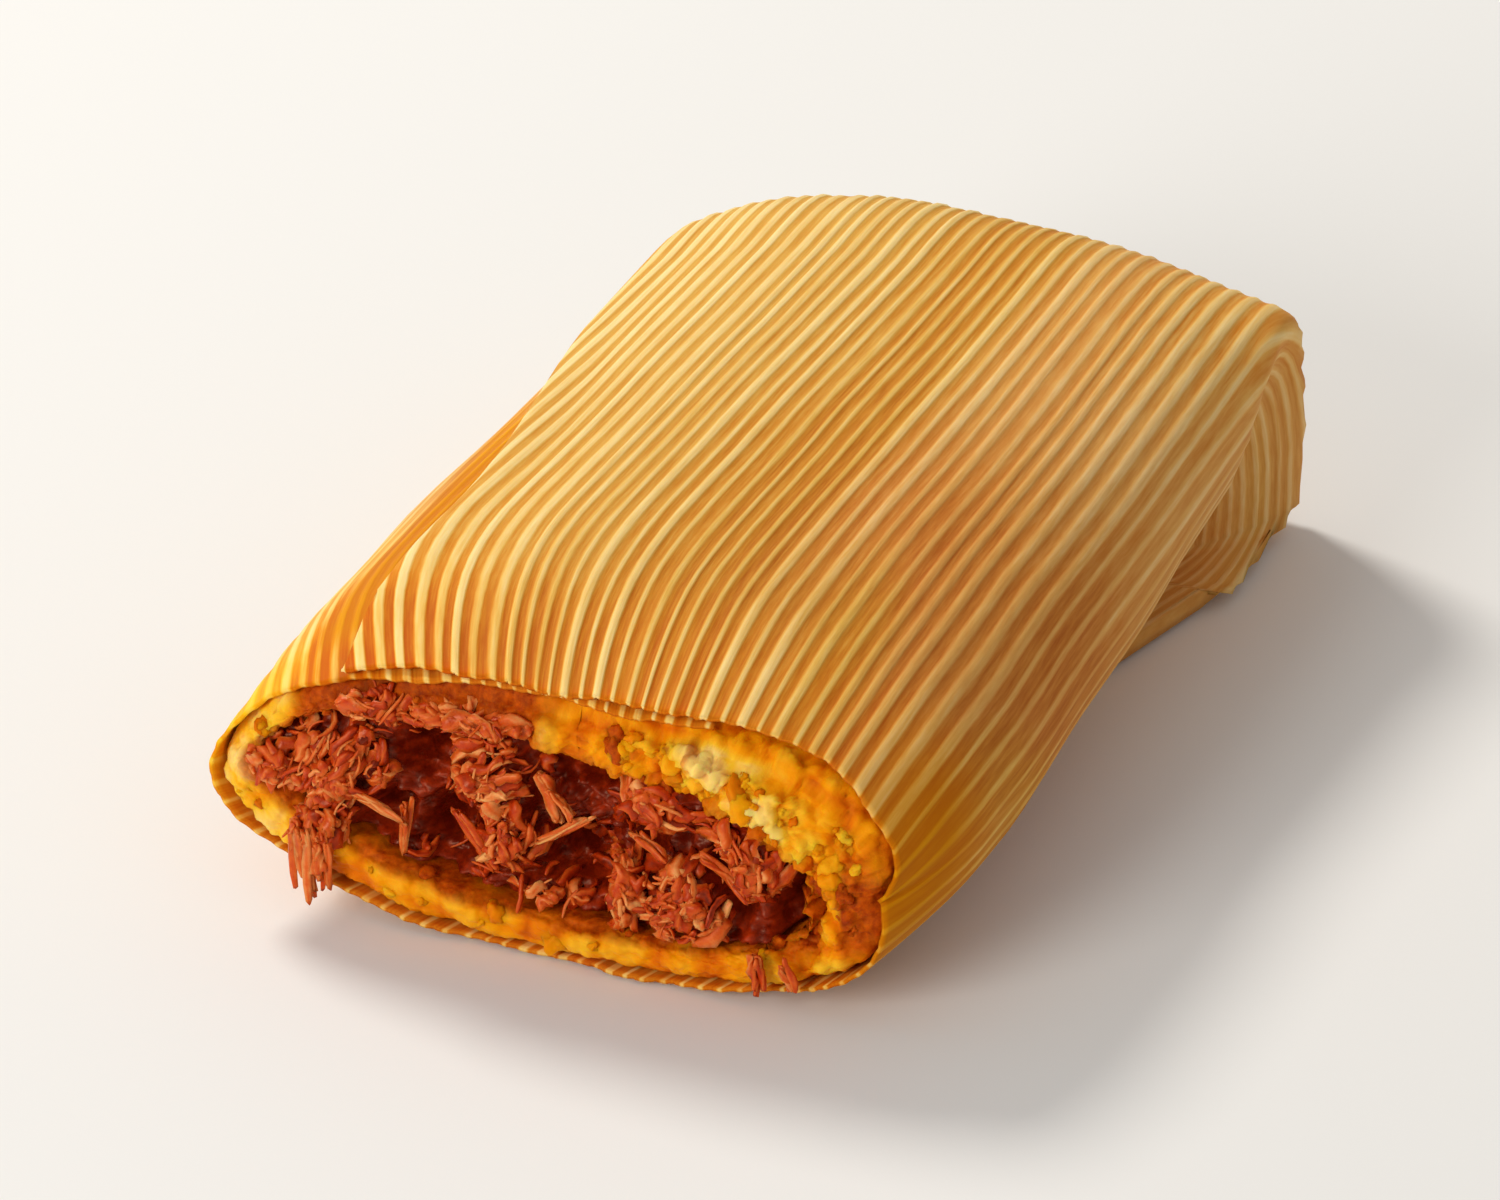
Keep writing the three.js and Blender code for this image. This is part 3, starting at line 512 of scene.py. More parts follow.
def feed(tree, socket, value):
    """Gives a socket a constant, or a link from the output of another node."""
    if isinstance(value, (int, float, tuple)):
        socket.default_value = value
    else:
        tree.links.new(value, socket)


def node(tree, kind, inputs, **settings):
    """A shader node with its settings and what goes into its sockets."""
    made = tree.nodes.new(kind)
    for name, value in settings.items():
        setattr(made, name, value)
    for name, value in inputs.items():
        feed(tree, made.inputs[name], value)
    return made


def new_material(name):
    """A material without nodes, and its node tree."""
    material = bpy.data.materials.new(name)
    material.use_nodes = True
    material.node_tree.nodes.clear()
    return material, material.node_tree


def add_shader(tree, inputs):
    """The principled shader, which is what shows on the surface."""
    shader = node(tree, "ShaderNodeBsdfPrincipled", inputs)
    node(tree, "ShaderNodeOutputMaterial", {"Surface": shader.outputs["BSDF"]})


def colour(red, green, blue):
    """A colour given as it is seen on a screen, 0 to 255, as the shader's linear colour."""
    seen = np.array([red, green, blue]) / 255
    linear = np.where(seen <= 0.04045, seen / 12.92, ((seen + 0.055) / 1.055) ** 2.4)
    return (*linear.tolist(), 1.0)


def ramp(tree, factor, stops):
    """A colour ramp: stops is a list of (position, red, green, blue)."""
    made = node(tree, "ShaderNodeValToRGB", {"Fac": factor})
    band = made.color_ramp
    while len(band.elements) < len(stops):
        band.elements.new(0.5)
    for element, (position, *value) in zip(band.elements, stops):
        element.position = position
        element.color = colour(*value)
    return made.outputs["Color"]


def blend_colours(tree, factor, first, second):
    return node(tree, "ShaderNodeMix", {0: factor, 6: first, 7: second}, data_type="RGBA").outputs[2]


def maths(tree, operation, first, second=0.0, clamp=False):
    made = node(tree, "ShaderNodeMath", {0: first, 1: second}, operation=operation, use_clamp=clamp)
    return made.outputs[0]


def product(tree, first, second):
    """The product of two values, kept between 0 and 1."""
    return maths(tree, "MULTIPLY", first, second, clamp=True)


def weighted(tree, *terms):
    """The sum of values, each given with its weight."""
    total = 0.0
    for value, weight in terms:
        total = maths(tree, "ADD", total, maths(tree, "MULTIPLY", value, weight))
    return total


def noise_map(tree, place, scale, detail, roughness=0.5):
    inputs = {"Vector": place, "Scale": scale, "Detail": detail, "Roughness": roughness}
    return node(tree, "ShaderNodeTexNoise", inputs).outputs["Fac"]


def bumps(tree, height, strength, distance):
    """Relief of the finish alone, with its distance in millimetres."""
    inputs = {"Height": height, "Strength": strength, "Distance": distance * MM}
    return node(tree, "ShaderNodeBump", inputs).outputs["Normal"]


def object_place(tree):
    return node(tree, "ShaderNodeTexCoord", {}).outputs["Object"]


def attribute(tree, name):
    return node(tree, "ShaderNodeAttribute", {}, attribute_name=name).outputs["Fac"]


def masa_material():
    material, tree = new_material("masa_dough")
    place, sauce_and_shade_mark = object_place(tree), attribute(tree, "sauce_and_shade")
    grain = noise_map(tree, place, 1300, 4, 0.65)
    patches = noise_map(tree, place, 240, 3)
    dough = ramp(tree, weighted(tree, (attribute(tree, "pale_and_lit"), 0.5), (patches, 0.55)), [
        (0.12, 176, 62, 1), (0.32, 224, 112, 1), (0.54, 243, 152, 4), (0.76, 250, 188, 40),
        (0.98, 251, 208, 112)])
    sauce = ramp(tree, grain, [(0.3, 136, 34, 2), (0.7, 208, 88, 5)])
    # The mark stains the dough with sauce. On the right rim this colour is painted shade, and past 1.3 it
    # turns darkest, which in the hollow is partly painted shade.
    reach = weighted(tree, (sauce_and_shade_mark, 1.0), (patches, 1.2))
    amount = product(tree, maths(tree, "SUBTRACT", reach, 0.95, clamp=True), 1.3)
    darkest_sauce_and_shade = maths(tree, "SUBTRACT", sauce_and_shade_mark, 1.3, clamp=True)
    stained = blend_colours(tree, amount, dough, sauce)
    add_shader(tree, {
        "Base Color": blend_colours(tree, darkest_sauce_and_shade, stained, colour(104, 22, 4)),
        "Normal": bumps(tree, grain, 0.5, 0.16),
        "Roughness": 0.5, "Specular IOR Level": 0.22, "Specular Tint": colour(255, 196, 110),
        "Subsurface Weight": 0.4, "Subsurface Radius": (1.0, 0.4, 0.06), "Subsurface Scale": 1.5 * MM})
    return material


def give_finish(piece, finish):
    piece.data.materials.clear()
    piece.data.materials.append(finish)


masa_finish = masa_material()
give_finish(masa, masa_finish)
give_finish(masa_crumbs, masa_finish)
select_only(masa_crumbs, masa)
bpy.ops.object.join()
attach(masa, "root")
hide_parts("masa")


# ---------------------------------------------------------------- shredded pork
# Pork stewed in red chilli sauce and torn apart along its fibres. Clumps of torn bits stand forward on
# the broken face with deep hollows between them, and a few shreds hang over the lower lip.
PORK_RECESS, PORK_LEAN, PORK_GAP = 3.2, 0.1, 0.3
# Clumps: x, z, radius across and up, how far it stands forward, and the slope of its fibres in degrees.
CLUMPS = [
    (-22.5, 14.6, 4.4, 4.0, 2.8, 60), (-28.4, 13.2, 2.2, 2.4, 2.6, 15), (-17.4, 21.2, 4.6, 2.2, 2.0, -20),
    (-23.6, 8.4, 2.8, 2.2, 2.2, 85), (-8.9, 16.6, 3.6, 3.0, 2.8, 30), (-6.6, 10.9, 2.4, 3.2, 2.2, 75),
    (-17.0, 6.2, 3.4, 1.5, 1.4, 5), (3.9, 8.8, 1.5, 3.6, 2.0, 86), (7.4, 17.8, 4.0, 2.8, 2.8, -30),
    (9.6, 8.6, 3.8, 3.6, 3.2, 50), (15.6, 12.4, 2.4, 2.4, 2.0, 70), (14.2, 15.8, 2.6, 2.4, 1.8, -45),
    (16.2, 5.2, 2.6, 1.6, 1.6, 20), (-10.4, 21.4, 5.0, 1.7, 2.2, 0), (-20.5, 21.8, 3.8, 1.5, 2.3, 15),
    (-6.0, 22.4, 6.0, 0.9, 2.4, 0), (-24.2, 5.4, 1.9, 2.4, 3.2, 85), (-3.0, 6.0, 3.0, 1.2, 1.0, 10),
]
# Hollows: x, z, radius across and up, and how much deeper each is.
HOLLOWS = [
    (-14.2, 16.0, 2.3, 2.6, 5.5), (-18.3, 9.8, 1.8, 1.9, 4.5), (-12.8, 9.4, 2.6, 2.6, 6.0),
    (0.2, 18.6, 2.8, 1.7, 5.0), (-0.6, 9.4, 3.2, 2.8, 6.5), (12.2, 12.2, 1.2, 1.3, 3.2),
    (5.6, 13.0, 1.5, 1.8, 4.0), (-4.2, 14.2, 1.2, 2.6, 2.0), (14.3, 9.3, 1.1, 1.7, 3.2),
    (19.2, 9.0, 2.0, 3.2, 4.0),
]


def meat_depth(x, z):
    """How far the face of the filling lies behind the cut at x, z."""
    depth = PORK_RECESS + PORK_LEAN * (z - 13)
    for middle_x, middle_z, wide, high, forward, _ in CLUMPS:
        depth = depth - forward * mound(x, z, middle_x, middle_z, wide, high, 1.4)
    for middle_x, middle_z, wide, high, back in HOLLOWS:
        depth = depth + back * mound(x, z, middle_x, middle_z, wide, high, 1.4)
    return np.maximum(depth, 0.1)


PORK_COLUMNS, PORK_RINGS = 300, 56
pork_w = np.linspace(0, 1, PORK_COLUMNS + 1)[None, :]
back_rows = np.array([TUNNEL_LENGTH - PORK_GAP, 50, 36, 24, 18, 15, 13, 11.5, 10])[:, None]
pork_sides = on_filling(back_rows + 0 * pork_w, pork_w, -PORK_GAP)
rim = on_filling(3.2 + 0 * pork_w, pork_w, -PORK_GAP - 0.1)
rim_middle = rim[0, :-1].mean(axis=0)
share = (1 - (np.arange(PORK_RINGS) + 0.3) / PORK_RINGS)[:, None, None]
pork_face = mix(rim_middle, rim, share)
pork_face[..., 1] = CUT_Y + meat_depth(pork_face[..., 0], pork_face[..., 2]) + 0.5
packed = 1.3 * (lumps_at(pork_face, 2.2, 31) - 0.5) + 0.8 * (lumps_at(pork_face, 0.9, 32) - 0.5)
pork_face[..., 1] -= packed
pork_places = np.concatenate([pole(pork_sides[0]), pork_sides, pork_face, pole(pork_face[-1])])
core_fibre = 0.2 + 0.5 * noise_at(pork_places * [1, 1, 2.5], 1.5, 33)
pork = grid_piece("pork_core", pork_places, {"fibre": core_fibre, "tint": 0 * core_fibre - 0.9})
close_seams(pork)


def strand_pattern(sides, steps, grooves, ragged):
    """A torn strand of meat along X, of unit length and radius, grooved and with ragged ends."""
    bpy.ops.mesh.primitive_grid_add(x_subdivisions=steps, y_subdivisions=sides, size=2)
    shape = bpy.context.object
    flat = vertices_of(shape.data)
    along, turn = 0.5 + 0.5 * np.sin(flat[:, 0] * pi / 2), (flat[:, 1] + 1) * pi
    taper = np.sqrt(np.clip(1 - np.abs(2 * along - 1) ** 5, 0, 1))
    ridge = 0.5 + 0.5 * np.cos(grooves * turn)
    radius = taper * (0.66 + 0.34 * ridge)
    torn = ragged * taper * np.abs(2 * along - 1) ** 3 * np.sign(along - 0.5)
    torn = torn * (np.sin(grooves * turn + 1) + 0.7 * np.sin(2 * turn + 4))
    places = np.stack([along - 0.5 + torn, radius * np.cos(turn), radius * np.sin(turn)], axis=1)
    shape.data.vertices.foreach_set("co", places.ravel())
    set_marks(shape.data, {"fibre": ridge})
    close_seams(shape, 0.0005)
    return pattern_from(shape)


def ridges_of(mesh):
    return np.array([v.value for v in mesh.attributes["fibre"].data])


def strand(points, centre, direction, length, wide, thick, bend, random):
    """A copy of a strand: stretched, twisted, bent and uneven, laid along a direction."""
    along = points[:, 0]
    angle = random.normal() * 2.0 * along + random.uniform(0, pi)
    uneven = 1 + 0.55 * noise_at(points * [2.2, 0.8, 0.8], 0.8, random.uniform(1, 60))
    y = (points[:, 1] * np.cos(angle) - points[:, 2] * np.sin(angle)) * wide * uneven
    z = (points[:, 1] * np.sin(angle) + points[:, 2] * np.cos(angle)) * thick * uneven
    y = y + bend[0] * (4 * along ** 2 - 0.33) + 0.2 * wide * np.sin(9 * along + random.uniform(0, 6))
    z = z + bend[1] * (4 * along ** 2 - 0.33)
    direction = direction / np.linalg.norm(direction)
    side = np.cross(direction, [0.0, 1.0, 0.0]) + 0.01
    side = side / np.linalg.norm(side)
    up = np.cross(direction, side)
    return centre + np.outer(along * length, direction) + np.outer(y, side) + np.outer(z, up)


chunk_mesh = strand_pattern(sides=8, steps=6, grooves=3, ragged=0.09)
fibre_mesh = strand_pattern(sides=6, steps=7, grooves=1, ragged=0.0)
pork_random = np.random.default_rng(41)

# The outline of the filling as its distance from the middle in each direction.
rim_from_middle = rim[0, :-1] - rim_middle
rim_angle = np.arctan2(rim_from_middle[:, 2], rim_from_middle[:, 0])
rim_order = np.argsort(rim_angle)
rim_angle = rim_angle[rim_order]
rim_reach = np.hypot(rim_from_middle[:, 0], rim_from_middle[:, 2])[rim_order]


def share_of_rim(x, z):
    """How far out a place on the face lies: 0 in the middle, 1 at the filling's outline."""
    from_x, from_z = x - rim_middle[0], z - rim_middle[2]
    reach = np.interp(np.arctan2(from_z, from_x), rim_angle, rim_reach, period=2 * pi)
    return np.hypot(from_x, from_z) / reach


def strands(mesh, per_clump, strewn, length, wide, lift, tilt):
    """Torn bits on the clumps, most of them along the clump's fibres, and a few strewn over the rest."""
    points = vertices_of(mesh)
    ridge = ridges_of(mesh)
    copies, fibre, tint = [], [], []
    areas = np.array([clump[2] * clump[3] for clump in CLUMPS])
    counts = np.rint(per_clump * areas / areas.mean()).astype(int)
    owners = np.concatenate([np.repeat(np.arange(len(CLUMPS)), counts), np.full(strewn, -1)])
    for owner in owners:
        if owner >= 0:
            x, z, across, high, forward, slope = CLUMPS[owner]
            turn, reach = pork_random.uniform(0, 2 * pi), pork_random.random() ** 0.6
            x, z = x + 1.05 * across * reach * np.cos(turn), z + 1.05 * high * reach * np.sin(turn)
            slope = radians(slope) + pork_random.normal() * 0.5
            tone = 0.25 + pork_random.normal() * 0.55
        else:
            spot = pork_random.random() ** 0.5
            edge = rim[0, int(pork_random.random() * PORK_COLUMNS)]
            x, z = mix(rim_middle[0], edge[0], spot), mix(rim_middle[2], edge[2], spot)
            slope, tone = pork_random.uniform(0, pi), -0.5 + pork_random.normal() * 0.3
        limit = 0.93
        if z > 15 and x < 2:
            limit = mix(1.02, 1.2, smooth(-24, -17, x))
        elif x < -21:
            limit = 1.15
        if share_of_rim(x, z) > limit:
            continue
        step = 0.3
        slope_x = (meat_depth(x + step, z) - meat_depth(x - step, z)) / (2 * step)
        slope_z = (meat_depth(x, z + step) - meat_depth(x, z - step)) / (2 * step)
        direction = np.array([np.cos(slope), 0.0, np.sin(slope)])
        direction[1] = slope_x * direction[0] + slope_z * direction[2] + tilt * pork_random.normal()
        long = mix(length[0], length[1], pork_random.random() ** 2)
        thick = mix(wide[0], wide[1], pork_random.random() ** 1.5)
        depth = meat_depth(x, z) - mix(lift[0], lift[1], pork_random.random())
        bend = pork_random.normal(size=2) * 0.12 * long
        copies.append(strand(points, np.array([x, CUT_Y + depth, z]), direction, long, thick,
                             thick * pork_random.uniform(0.55, 1), bend, pork_random))
        fibre.append(ridge)
        tint.append(np.full(len(points), tone))
    return copies, fibre, tint


chunks = strands(chunk_mesh, per_clump=34, strewn=60, length=(1.5, 4.2), wide=(0.36, 0.95),
                 lift=(-0.5, 0.7), tilt=0.3)
fibres = strands(fibre_mesh, per_clump=18, strewn=40, length=(1.4, 3.6), wide=(0.14, 0.32),
                 lift=(0.1, 0.9), tilt=0.35)
# Single shreds, from x, z to x, z, with the depth behind the cut, the radius, the bend and the tone: some
# cross the hollows, some hang over the lip at the left, and two small ones at the right.
SHREDS = [
    (-15.9, 12.6, -16.2, 6.6, 2.0, 0.55, 0.5, 0.8), (-3.6, 18.2, -1.9, 13.6, 1.6, 0.95, 0.9, 1.0),
    (-2.6, 16.6, -0.4, 14.2, 1.4, 0.6, 0.4, 0.7), (-4.4, 10.6, 1.2, 14.9, 1.8, 0.5, 0.3, 0.9),
    (3.8, 12.4, 4.0, 4.4, 1.5, 0.95, 0.4, 0.3), (-24.0, 9.4, -23.7, 1.9, -0.6, 0.72, 0.5, 0.7),
    (-22.5, 8.8, -22.1, 2.9, -0.5, 0.62, 0.4, 0.4), (-25.4, 9.4, -25.6, 6.2, -0.2, 0.7, 0.3, 0.5),
    (16.4, 6.4, 17.2, 2.4, -0.3, 0.75, 0.4, 0.2), (19.0, 6.0, 20.2, 3.0, -0.2, 0.6, 0.3, 0.6),
    (-25.0, 8.6, -24.6, 3.2, -0.3, 0.75, 0.4, 0.2), (-23.3, 7.6, -22.8, 4.2, -0.7, 0.8, 0.3, 0.5),
    (-20.2, 12.0, -15.6, 10.2, 1.0, 0.55, 0.5, 0.9), (11.0, 14.0, 15.6, 10.4, 1.2, 0.6, 0.5, 0.5),
    (-11.6, 12.8, -7.6, 7.4, 1.6, 0.7, 0.4, 0.2), (5.0, 14.8, 8.6, 12.4, 0.9, 0.6, 0.3, 0.6),
]
FIBRES_IN_SHRED = 4
chunk_points = vertices_of(chunk_mesh)
chunk_ridge = ridges_of(chunk_mesh)
for x0, z0, x1, z1, behind, wide, bow, tone in SHREDS:
    span = np.array([x1 - x0, 0.0, z1 - z0])
    middle = np.array([(x0 + x1) / 2, CUT_Y + behind, (z0 + z1) / 2])
    for _ in range(FIBRES_IN_SHRED):
        aside = pork_random.normal(size=3) * [0.38, 0.25, 0.3] * wide
        long = np.linalg.norm(span) * pork_random.uniform(0.75, 1.05)
        direction = span + pork_random.normal(size=3) * 0.35
        chunks[0].append(strand(chunk_points, middle + aside, direction, long, 0.6 * wide, 0.5 * wide,
                                np.array([0.4 * bow, bow]), pork_random))
        chunks[1].append(chunk_ridge)
        chunks[2].append(np.full(len(chunk_points), tone + 0.3 * pork_random.normal()))
pork_chunks = joined_mesh("pork_chunks", chunk_mesh, chunks[0], {"fibre": chunks[1], "tint": chunks[2]})
pork_fibres = joined_mesh("pork_fibres", fibre_mesh, fibres[0], {"fibre": fibres[1], "tint": fibres[2]})


def pork_material():
    material, tree = new_material("pork_in_sauce")
    place = object_place(tree)
    grain = noise_map(tree, place, 1700, 4, 0.6)
    patches = noise_map(tree, place, 420, 2)
    light = weighted(tree, (attribute(tree, "fibre"), 0.3), (grain, 0.35), (attribute(tree, "tint"), 0.2),
                     (patches, 0.35))
    # The sauce leaves it wet in some places and dull in others.
    wet = node(tree, "ShaderNodeMapRange", {
        "Value": patches, "From Min": 0.3, "From Max": 0.7, "To Min": 0.22, "To Max": 0.5})
    add_shader(tree, {
        "Base Color": ramp(tree, light, [
            (0.18, 110, 21, 2), (0.42, 188, 53, 7), (0.64, 218, 95, 27), (0.94, 242, 166, 94)]),
        "Normal": bumps(tree, grain, 0.5, 0.14),
        "Roughness": wet.outputs["Result"],
        "Specular IOR Level": 0.42, "Specular Tint": colour(255, 204, 168),
        "Subsurface Weight": 0.2, "Subsurface Radius": (1.0, 0.25, 0.1), "Subsurface Scale": 0.8 * MM})
    return material


pork_finish = pork_material()
for piece in (pork, pork_chunks, pork_fibres):
    give_finish(piece, pork_finish)
    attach(piece, "root")
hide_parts("pork")


# ---------------------------------------------------------------- husk
# One dried corn husk, soaked soft: a ribbed leaf, rolled once round the masa with its free edge on the
# left shoulder. The narrow end folds down over the end of the roll and back under it.
INNER_EDGE, FREE_EDGE_CUT, FREE_EDGE_END = -0.07, 1.15, 1.21
FREE_EDGE_FROM = 0.3
RIB_PITCH = (1.35, 1.95)
RIB_RELIEF = (0.1, 0.22)
BROAD_RIBS = 0.26
LEAF = 0.34
RIB_SHAPE = np.array([0.0, 0.4, 1.0, 0.95, 0.35, 0.0])
leaf_width = (FREE_EDGE_END - INNER_EDGE) * roll["round"][0]
husk_random = np.random.default_rng(7)

# The ribs lie side by side across the leaf, each with its own width and height.
rib_starts = [0.0]
while rib_starts[-1] < leaf_width:
    rib_starts.append(rib_starts[-1] + husk_random.uniform(*RIB_PITCH))
rib_starts = np.array(rib_starts) * leaf_width / rib_starts[-1]
RIBS = len(rib_starts) - 1
STEPS = len(RIB_SHAPE)
across = (rib_starts[:-1, None] + np.diff(rib_starts)[:, None] * np.arange(STEPS) / STEPS).ravel()
across = np.append(across, leaf_width)
rib_count = np.arange(RIBS * STEPS + 1) / STEPS
broad = husk_random.random(RIBS) < BROAD_RIBS
rib_heights = np.where(broad, husk_random.uniform(0.6, 1, RIBS), husk_random.uniform(0, 0.6, RIBS))
rib_heights = mix(*RIB_RELIEF, rib_heights)
ribs_up = np.append((rib_heights[:, None] * RIB_SHAPE).ravel(), 0)
rib_fray = np.append(np.repeat(husk_random.uniform(-0.1, 0.16, RIBS), STEPS), 0)

straight_rows = np.array([0, 0.5, 1.1, 1.9, 2.9, 4.1, 5.6, 7.4, 9.5, 12, 14.7, 17.5, 20.5, 23.5, 26.5, 29.5,
                          32.5, 36, 39.5, 43, 46.5, 50, 54, 58, 62]) / STRAIGHT
fold_rows = 1 + np.array([0, 0.05, 0.085, 0.11, 0.135, 0.155, 0.175, 0.195, 0.215, 0.24, 0.27, 0.31, 0.37,
                          0.43, 0.48, 0.505, 0.52, 0.54, 0.58, 0.66])
tail_rows = 2 + np.array([0, 0.25, 0.5, 0.75, 1])
husk_s = np.concatenate([straight_rows, fold_rows, tail_rows])[:, None]
share = (across / leaf_width)[None, :]
free_edge = mix(FREE_EDGE_CUT, FREE_EDGE_END, smooth(FREE_EDGE_FROM, 1, husk_s))
husk_w = mix(INNER_EDGE, FREE_EDGE_END, share) + 0 * husk_s
husk_s = husk_s + 0 * husk_w
from_cut = husk_s * STRAIGHT
round_length = 160.0

# The ribs wander a little to the sides, and on the left shoulder they swing to the right towards the cut.
# There the leaf's free edge runs across them and cuts them off.
flat_leaf = np.stack([husk_w * round_length, husk_s * STRAIGHT, 0 * husk_w], axis=-1)
wander = 0.7 * noise_at(flat_leaf * [1, 0.5, 1], 30, 71) + 0.12 * noise_at(flat_leaf * [1, 0.5, 1], 8, 72)
wander = wander * smooth(0, 0.03, share) * smooth(1.5, 1.1, husk_s)
swing = 6.5 * np.clip(1 - from_cut / 26, 0, 1) ** 2 * (bell(husk_w, 1.15, 0.2) + bell(husk_w, 0.15, 0.2))
husk_w = husk_w + (wander - swing) / round_length
cut_off = husk_w >= free_edge
rib_count = np.stack([np.minimum(rib_count, np.interp(edge, row, rib_count))
                      for edge, row in zip(free_edge[:, 0], husk_w)])
husk_w = np.minimum(husk_w, free_edge)
ribs_up = np.where(cut_off, 0, ribs_up[None, :])
rib_fray = np.where(cut_off, 0, rib_fray[None, :])

# Both layers rise and dip together, the free edge lifts off a little, and the cut edge is torn.
turn_only = np.stack([np.cos(2 * pi * husk_w), np.sin(2 * pi * husk_w), husk_s * 2.2], axis=-1)
dents = (0.28 * noise_at(turn_only, 0.5, 73) + 0.3) * mix(0.3, 1, smooth(0, 16, from_cut))
lift = 0.75 * smooth(0.03, 0, free_edge - husk_w) * smooth(1.4, 1.0, husk_s) * smooth(0, 8, from_cut)
flat_under = smooth(1.5, 1.35, husk_s)
layer = AIR + (SHEET + AIR) * smooth(LAYER_START, LAYER_END, husk_w)
edge_wave = 0.12 * noise_at(turn_only * [1, 1, 0], 0.15, 74) * smooth(6, 0, from_cut)
out = layer + SHEET - RIB_RELIEF[1] * 0.6 + (dents + lift + edge_wave) * flat_under
# The right flank near the cut: its ribs are lower, and the groove and shade marks give it sauce stain and
# painted shade.
right_flank = bell(husk_w, 0.765, 0.05) * smooth(15, 5, from_cut)
on_left, on_right = smooth(1.0, 1.12, husk_w), smooth(0.98, 0.86, husk_w)
out = out + ribs_up * smooth(1.9, 1.6, husk_s) * (1 - 0.6 * right_flank) * (1 - 0.25 * on_right)
edge_leaf = np.stack([husk_w * round_length, 0 * husk_w, 0 * husk_w], axis=-1)
setback = husk_setback(husk_w) + rib_fray + 0.25 * noise_at(edge_leaf, 6, 75)
trimmed = np.where(husk_s < 1, husk_s + (1 - husk_s) * np.maximum(setback, 0.1) / STRAIGHT, husk_s)
husk_places = on_roll(trimmed, husk_w, out)
husk_places[..., 2] = np.maximum(husk_places[..., 2], LEAF)

# Marks for the finish: the count of ribs across the leaf, the sauce that has stained it along the cut, on
# the shoulder and in the fold, the orange groove beside the free edge, which is sauce stain and painted
# shade, the painted shadow under the free edge, painted light that makes parts lighter or darker, and how
# broad-ribbed, faint, rosy or yellow each part is. The yellow at the left tip is partly a painted glow.
shoulder = bell(husk_w, 1.17, 0.07) + bell(husk_w, 0.19, 0.05)
stain = 0.8 * bell(husk_w, 0.83, 0.05) * smooth(0.8, 1.12, husk_s) * smooth(1.35, 1.2, husk_s)
stain = stain + 0.7 * shoulder * smooth(44, 12, from_cut) + 0.5 * smooth(1.6, 0.2, from_cut)
stain = stain + 0.4 * smooth(18, 3, from_cut)
beside_edge = husk_w - free_edge + 1
# The groove beside the free edge is sauce stain and painted shade. The right flank near the cut is added to
# it.
groove_stain_and_shade = smooth(-0.001, 0.003, beside_edge) * smooth(0.042, 0.028, beside_edge)
groove_stain_and_shade = groove_stain_and_shade * smooth(2.5, 8, from_cut) * smooth(56, 42, from_cut) + right_flank
# Painted shade: a dark line on the inner layer right beside the free edge, as the edge's shadow, and some
# on the right flank near the cut.
painted_shade = bell(beside_edge, 0.002, 0.004) * smooth(1.3, 1.1, husk_s) + 0.6 * right_flank
# Painted light: the light mark makes the left shoulder darker right at the cut and lighter further back,
# and the rear right lighter. It also makes the leaf a little paler towards the rear, darker at the front of
# the inner layer on the left, and paints a highlight on the inner layer's strip just beyond the groove.
light = mix(-0.07, 0.15, smooth(4, 18, from_cut)) * smooth(0.97, 1.08, husk_w)
light = light + 0.04 * smooth(36, 66, from_cut) + 0.14 * on_right * smooth(30, 60, from_cut)
light = light - 0.08 * bell(husk_w, 0.2, 0.06) * smooth(16, 4, from_cut)
light = light + 0.2 * smooth(0.036, 0.046, beside_edge) * smooth(0.12, 0.07, beside_edge)
broad_mark = np.append(np.repeat(broad, STEPS), False)[None, :] + on_left + 0.4 * smooth(36, 66, from_cut)
broad_mark = broad_mark + 0.7 * bell(husk_w, 0.2, 0.08) * smooth(30, 10, from_cut)
faint = 0.35 * on_right - 0.28 * smooth(18, 3, from_cut)
rosy = 0.3 * on_right * smooth(14, 40, from_cut) - 0.3 * on_left
# The yellow at the left tip near the cut is partly the paler inside of the leaf and partly a painted glow.
yellow = bell(husk_w, 0.235, 0.05) * smooth(12, 1, from_cut)
husk = grid_piece("husk_leaf", husk_places, {
    "ribs": rib_count, "along": from_cut, "stain": stain, "painted_shade": painted_shade, "groove_stain_and_shade": groove_stain_and_shade, "light": light,
    "broad": broad_mark, "faint": faint, "rosy": rosy, "yellow": yellow})
close_seams(husk)
bpy.ops.object.modifier_add(type="SOLIDIFY")
solidify = husk.modifiers["Solidify"]
solidify.thickness = LEAF * MM
solidify.offset = -1
bpy.ops.object.modifier_apply(modifier="Solidify")
bpy.ops.object.shade_smooth()


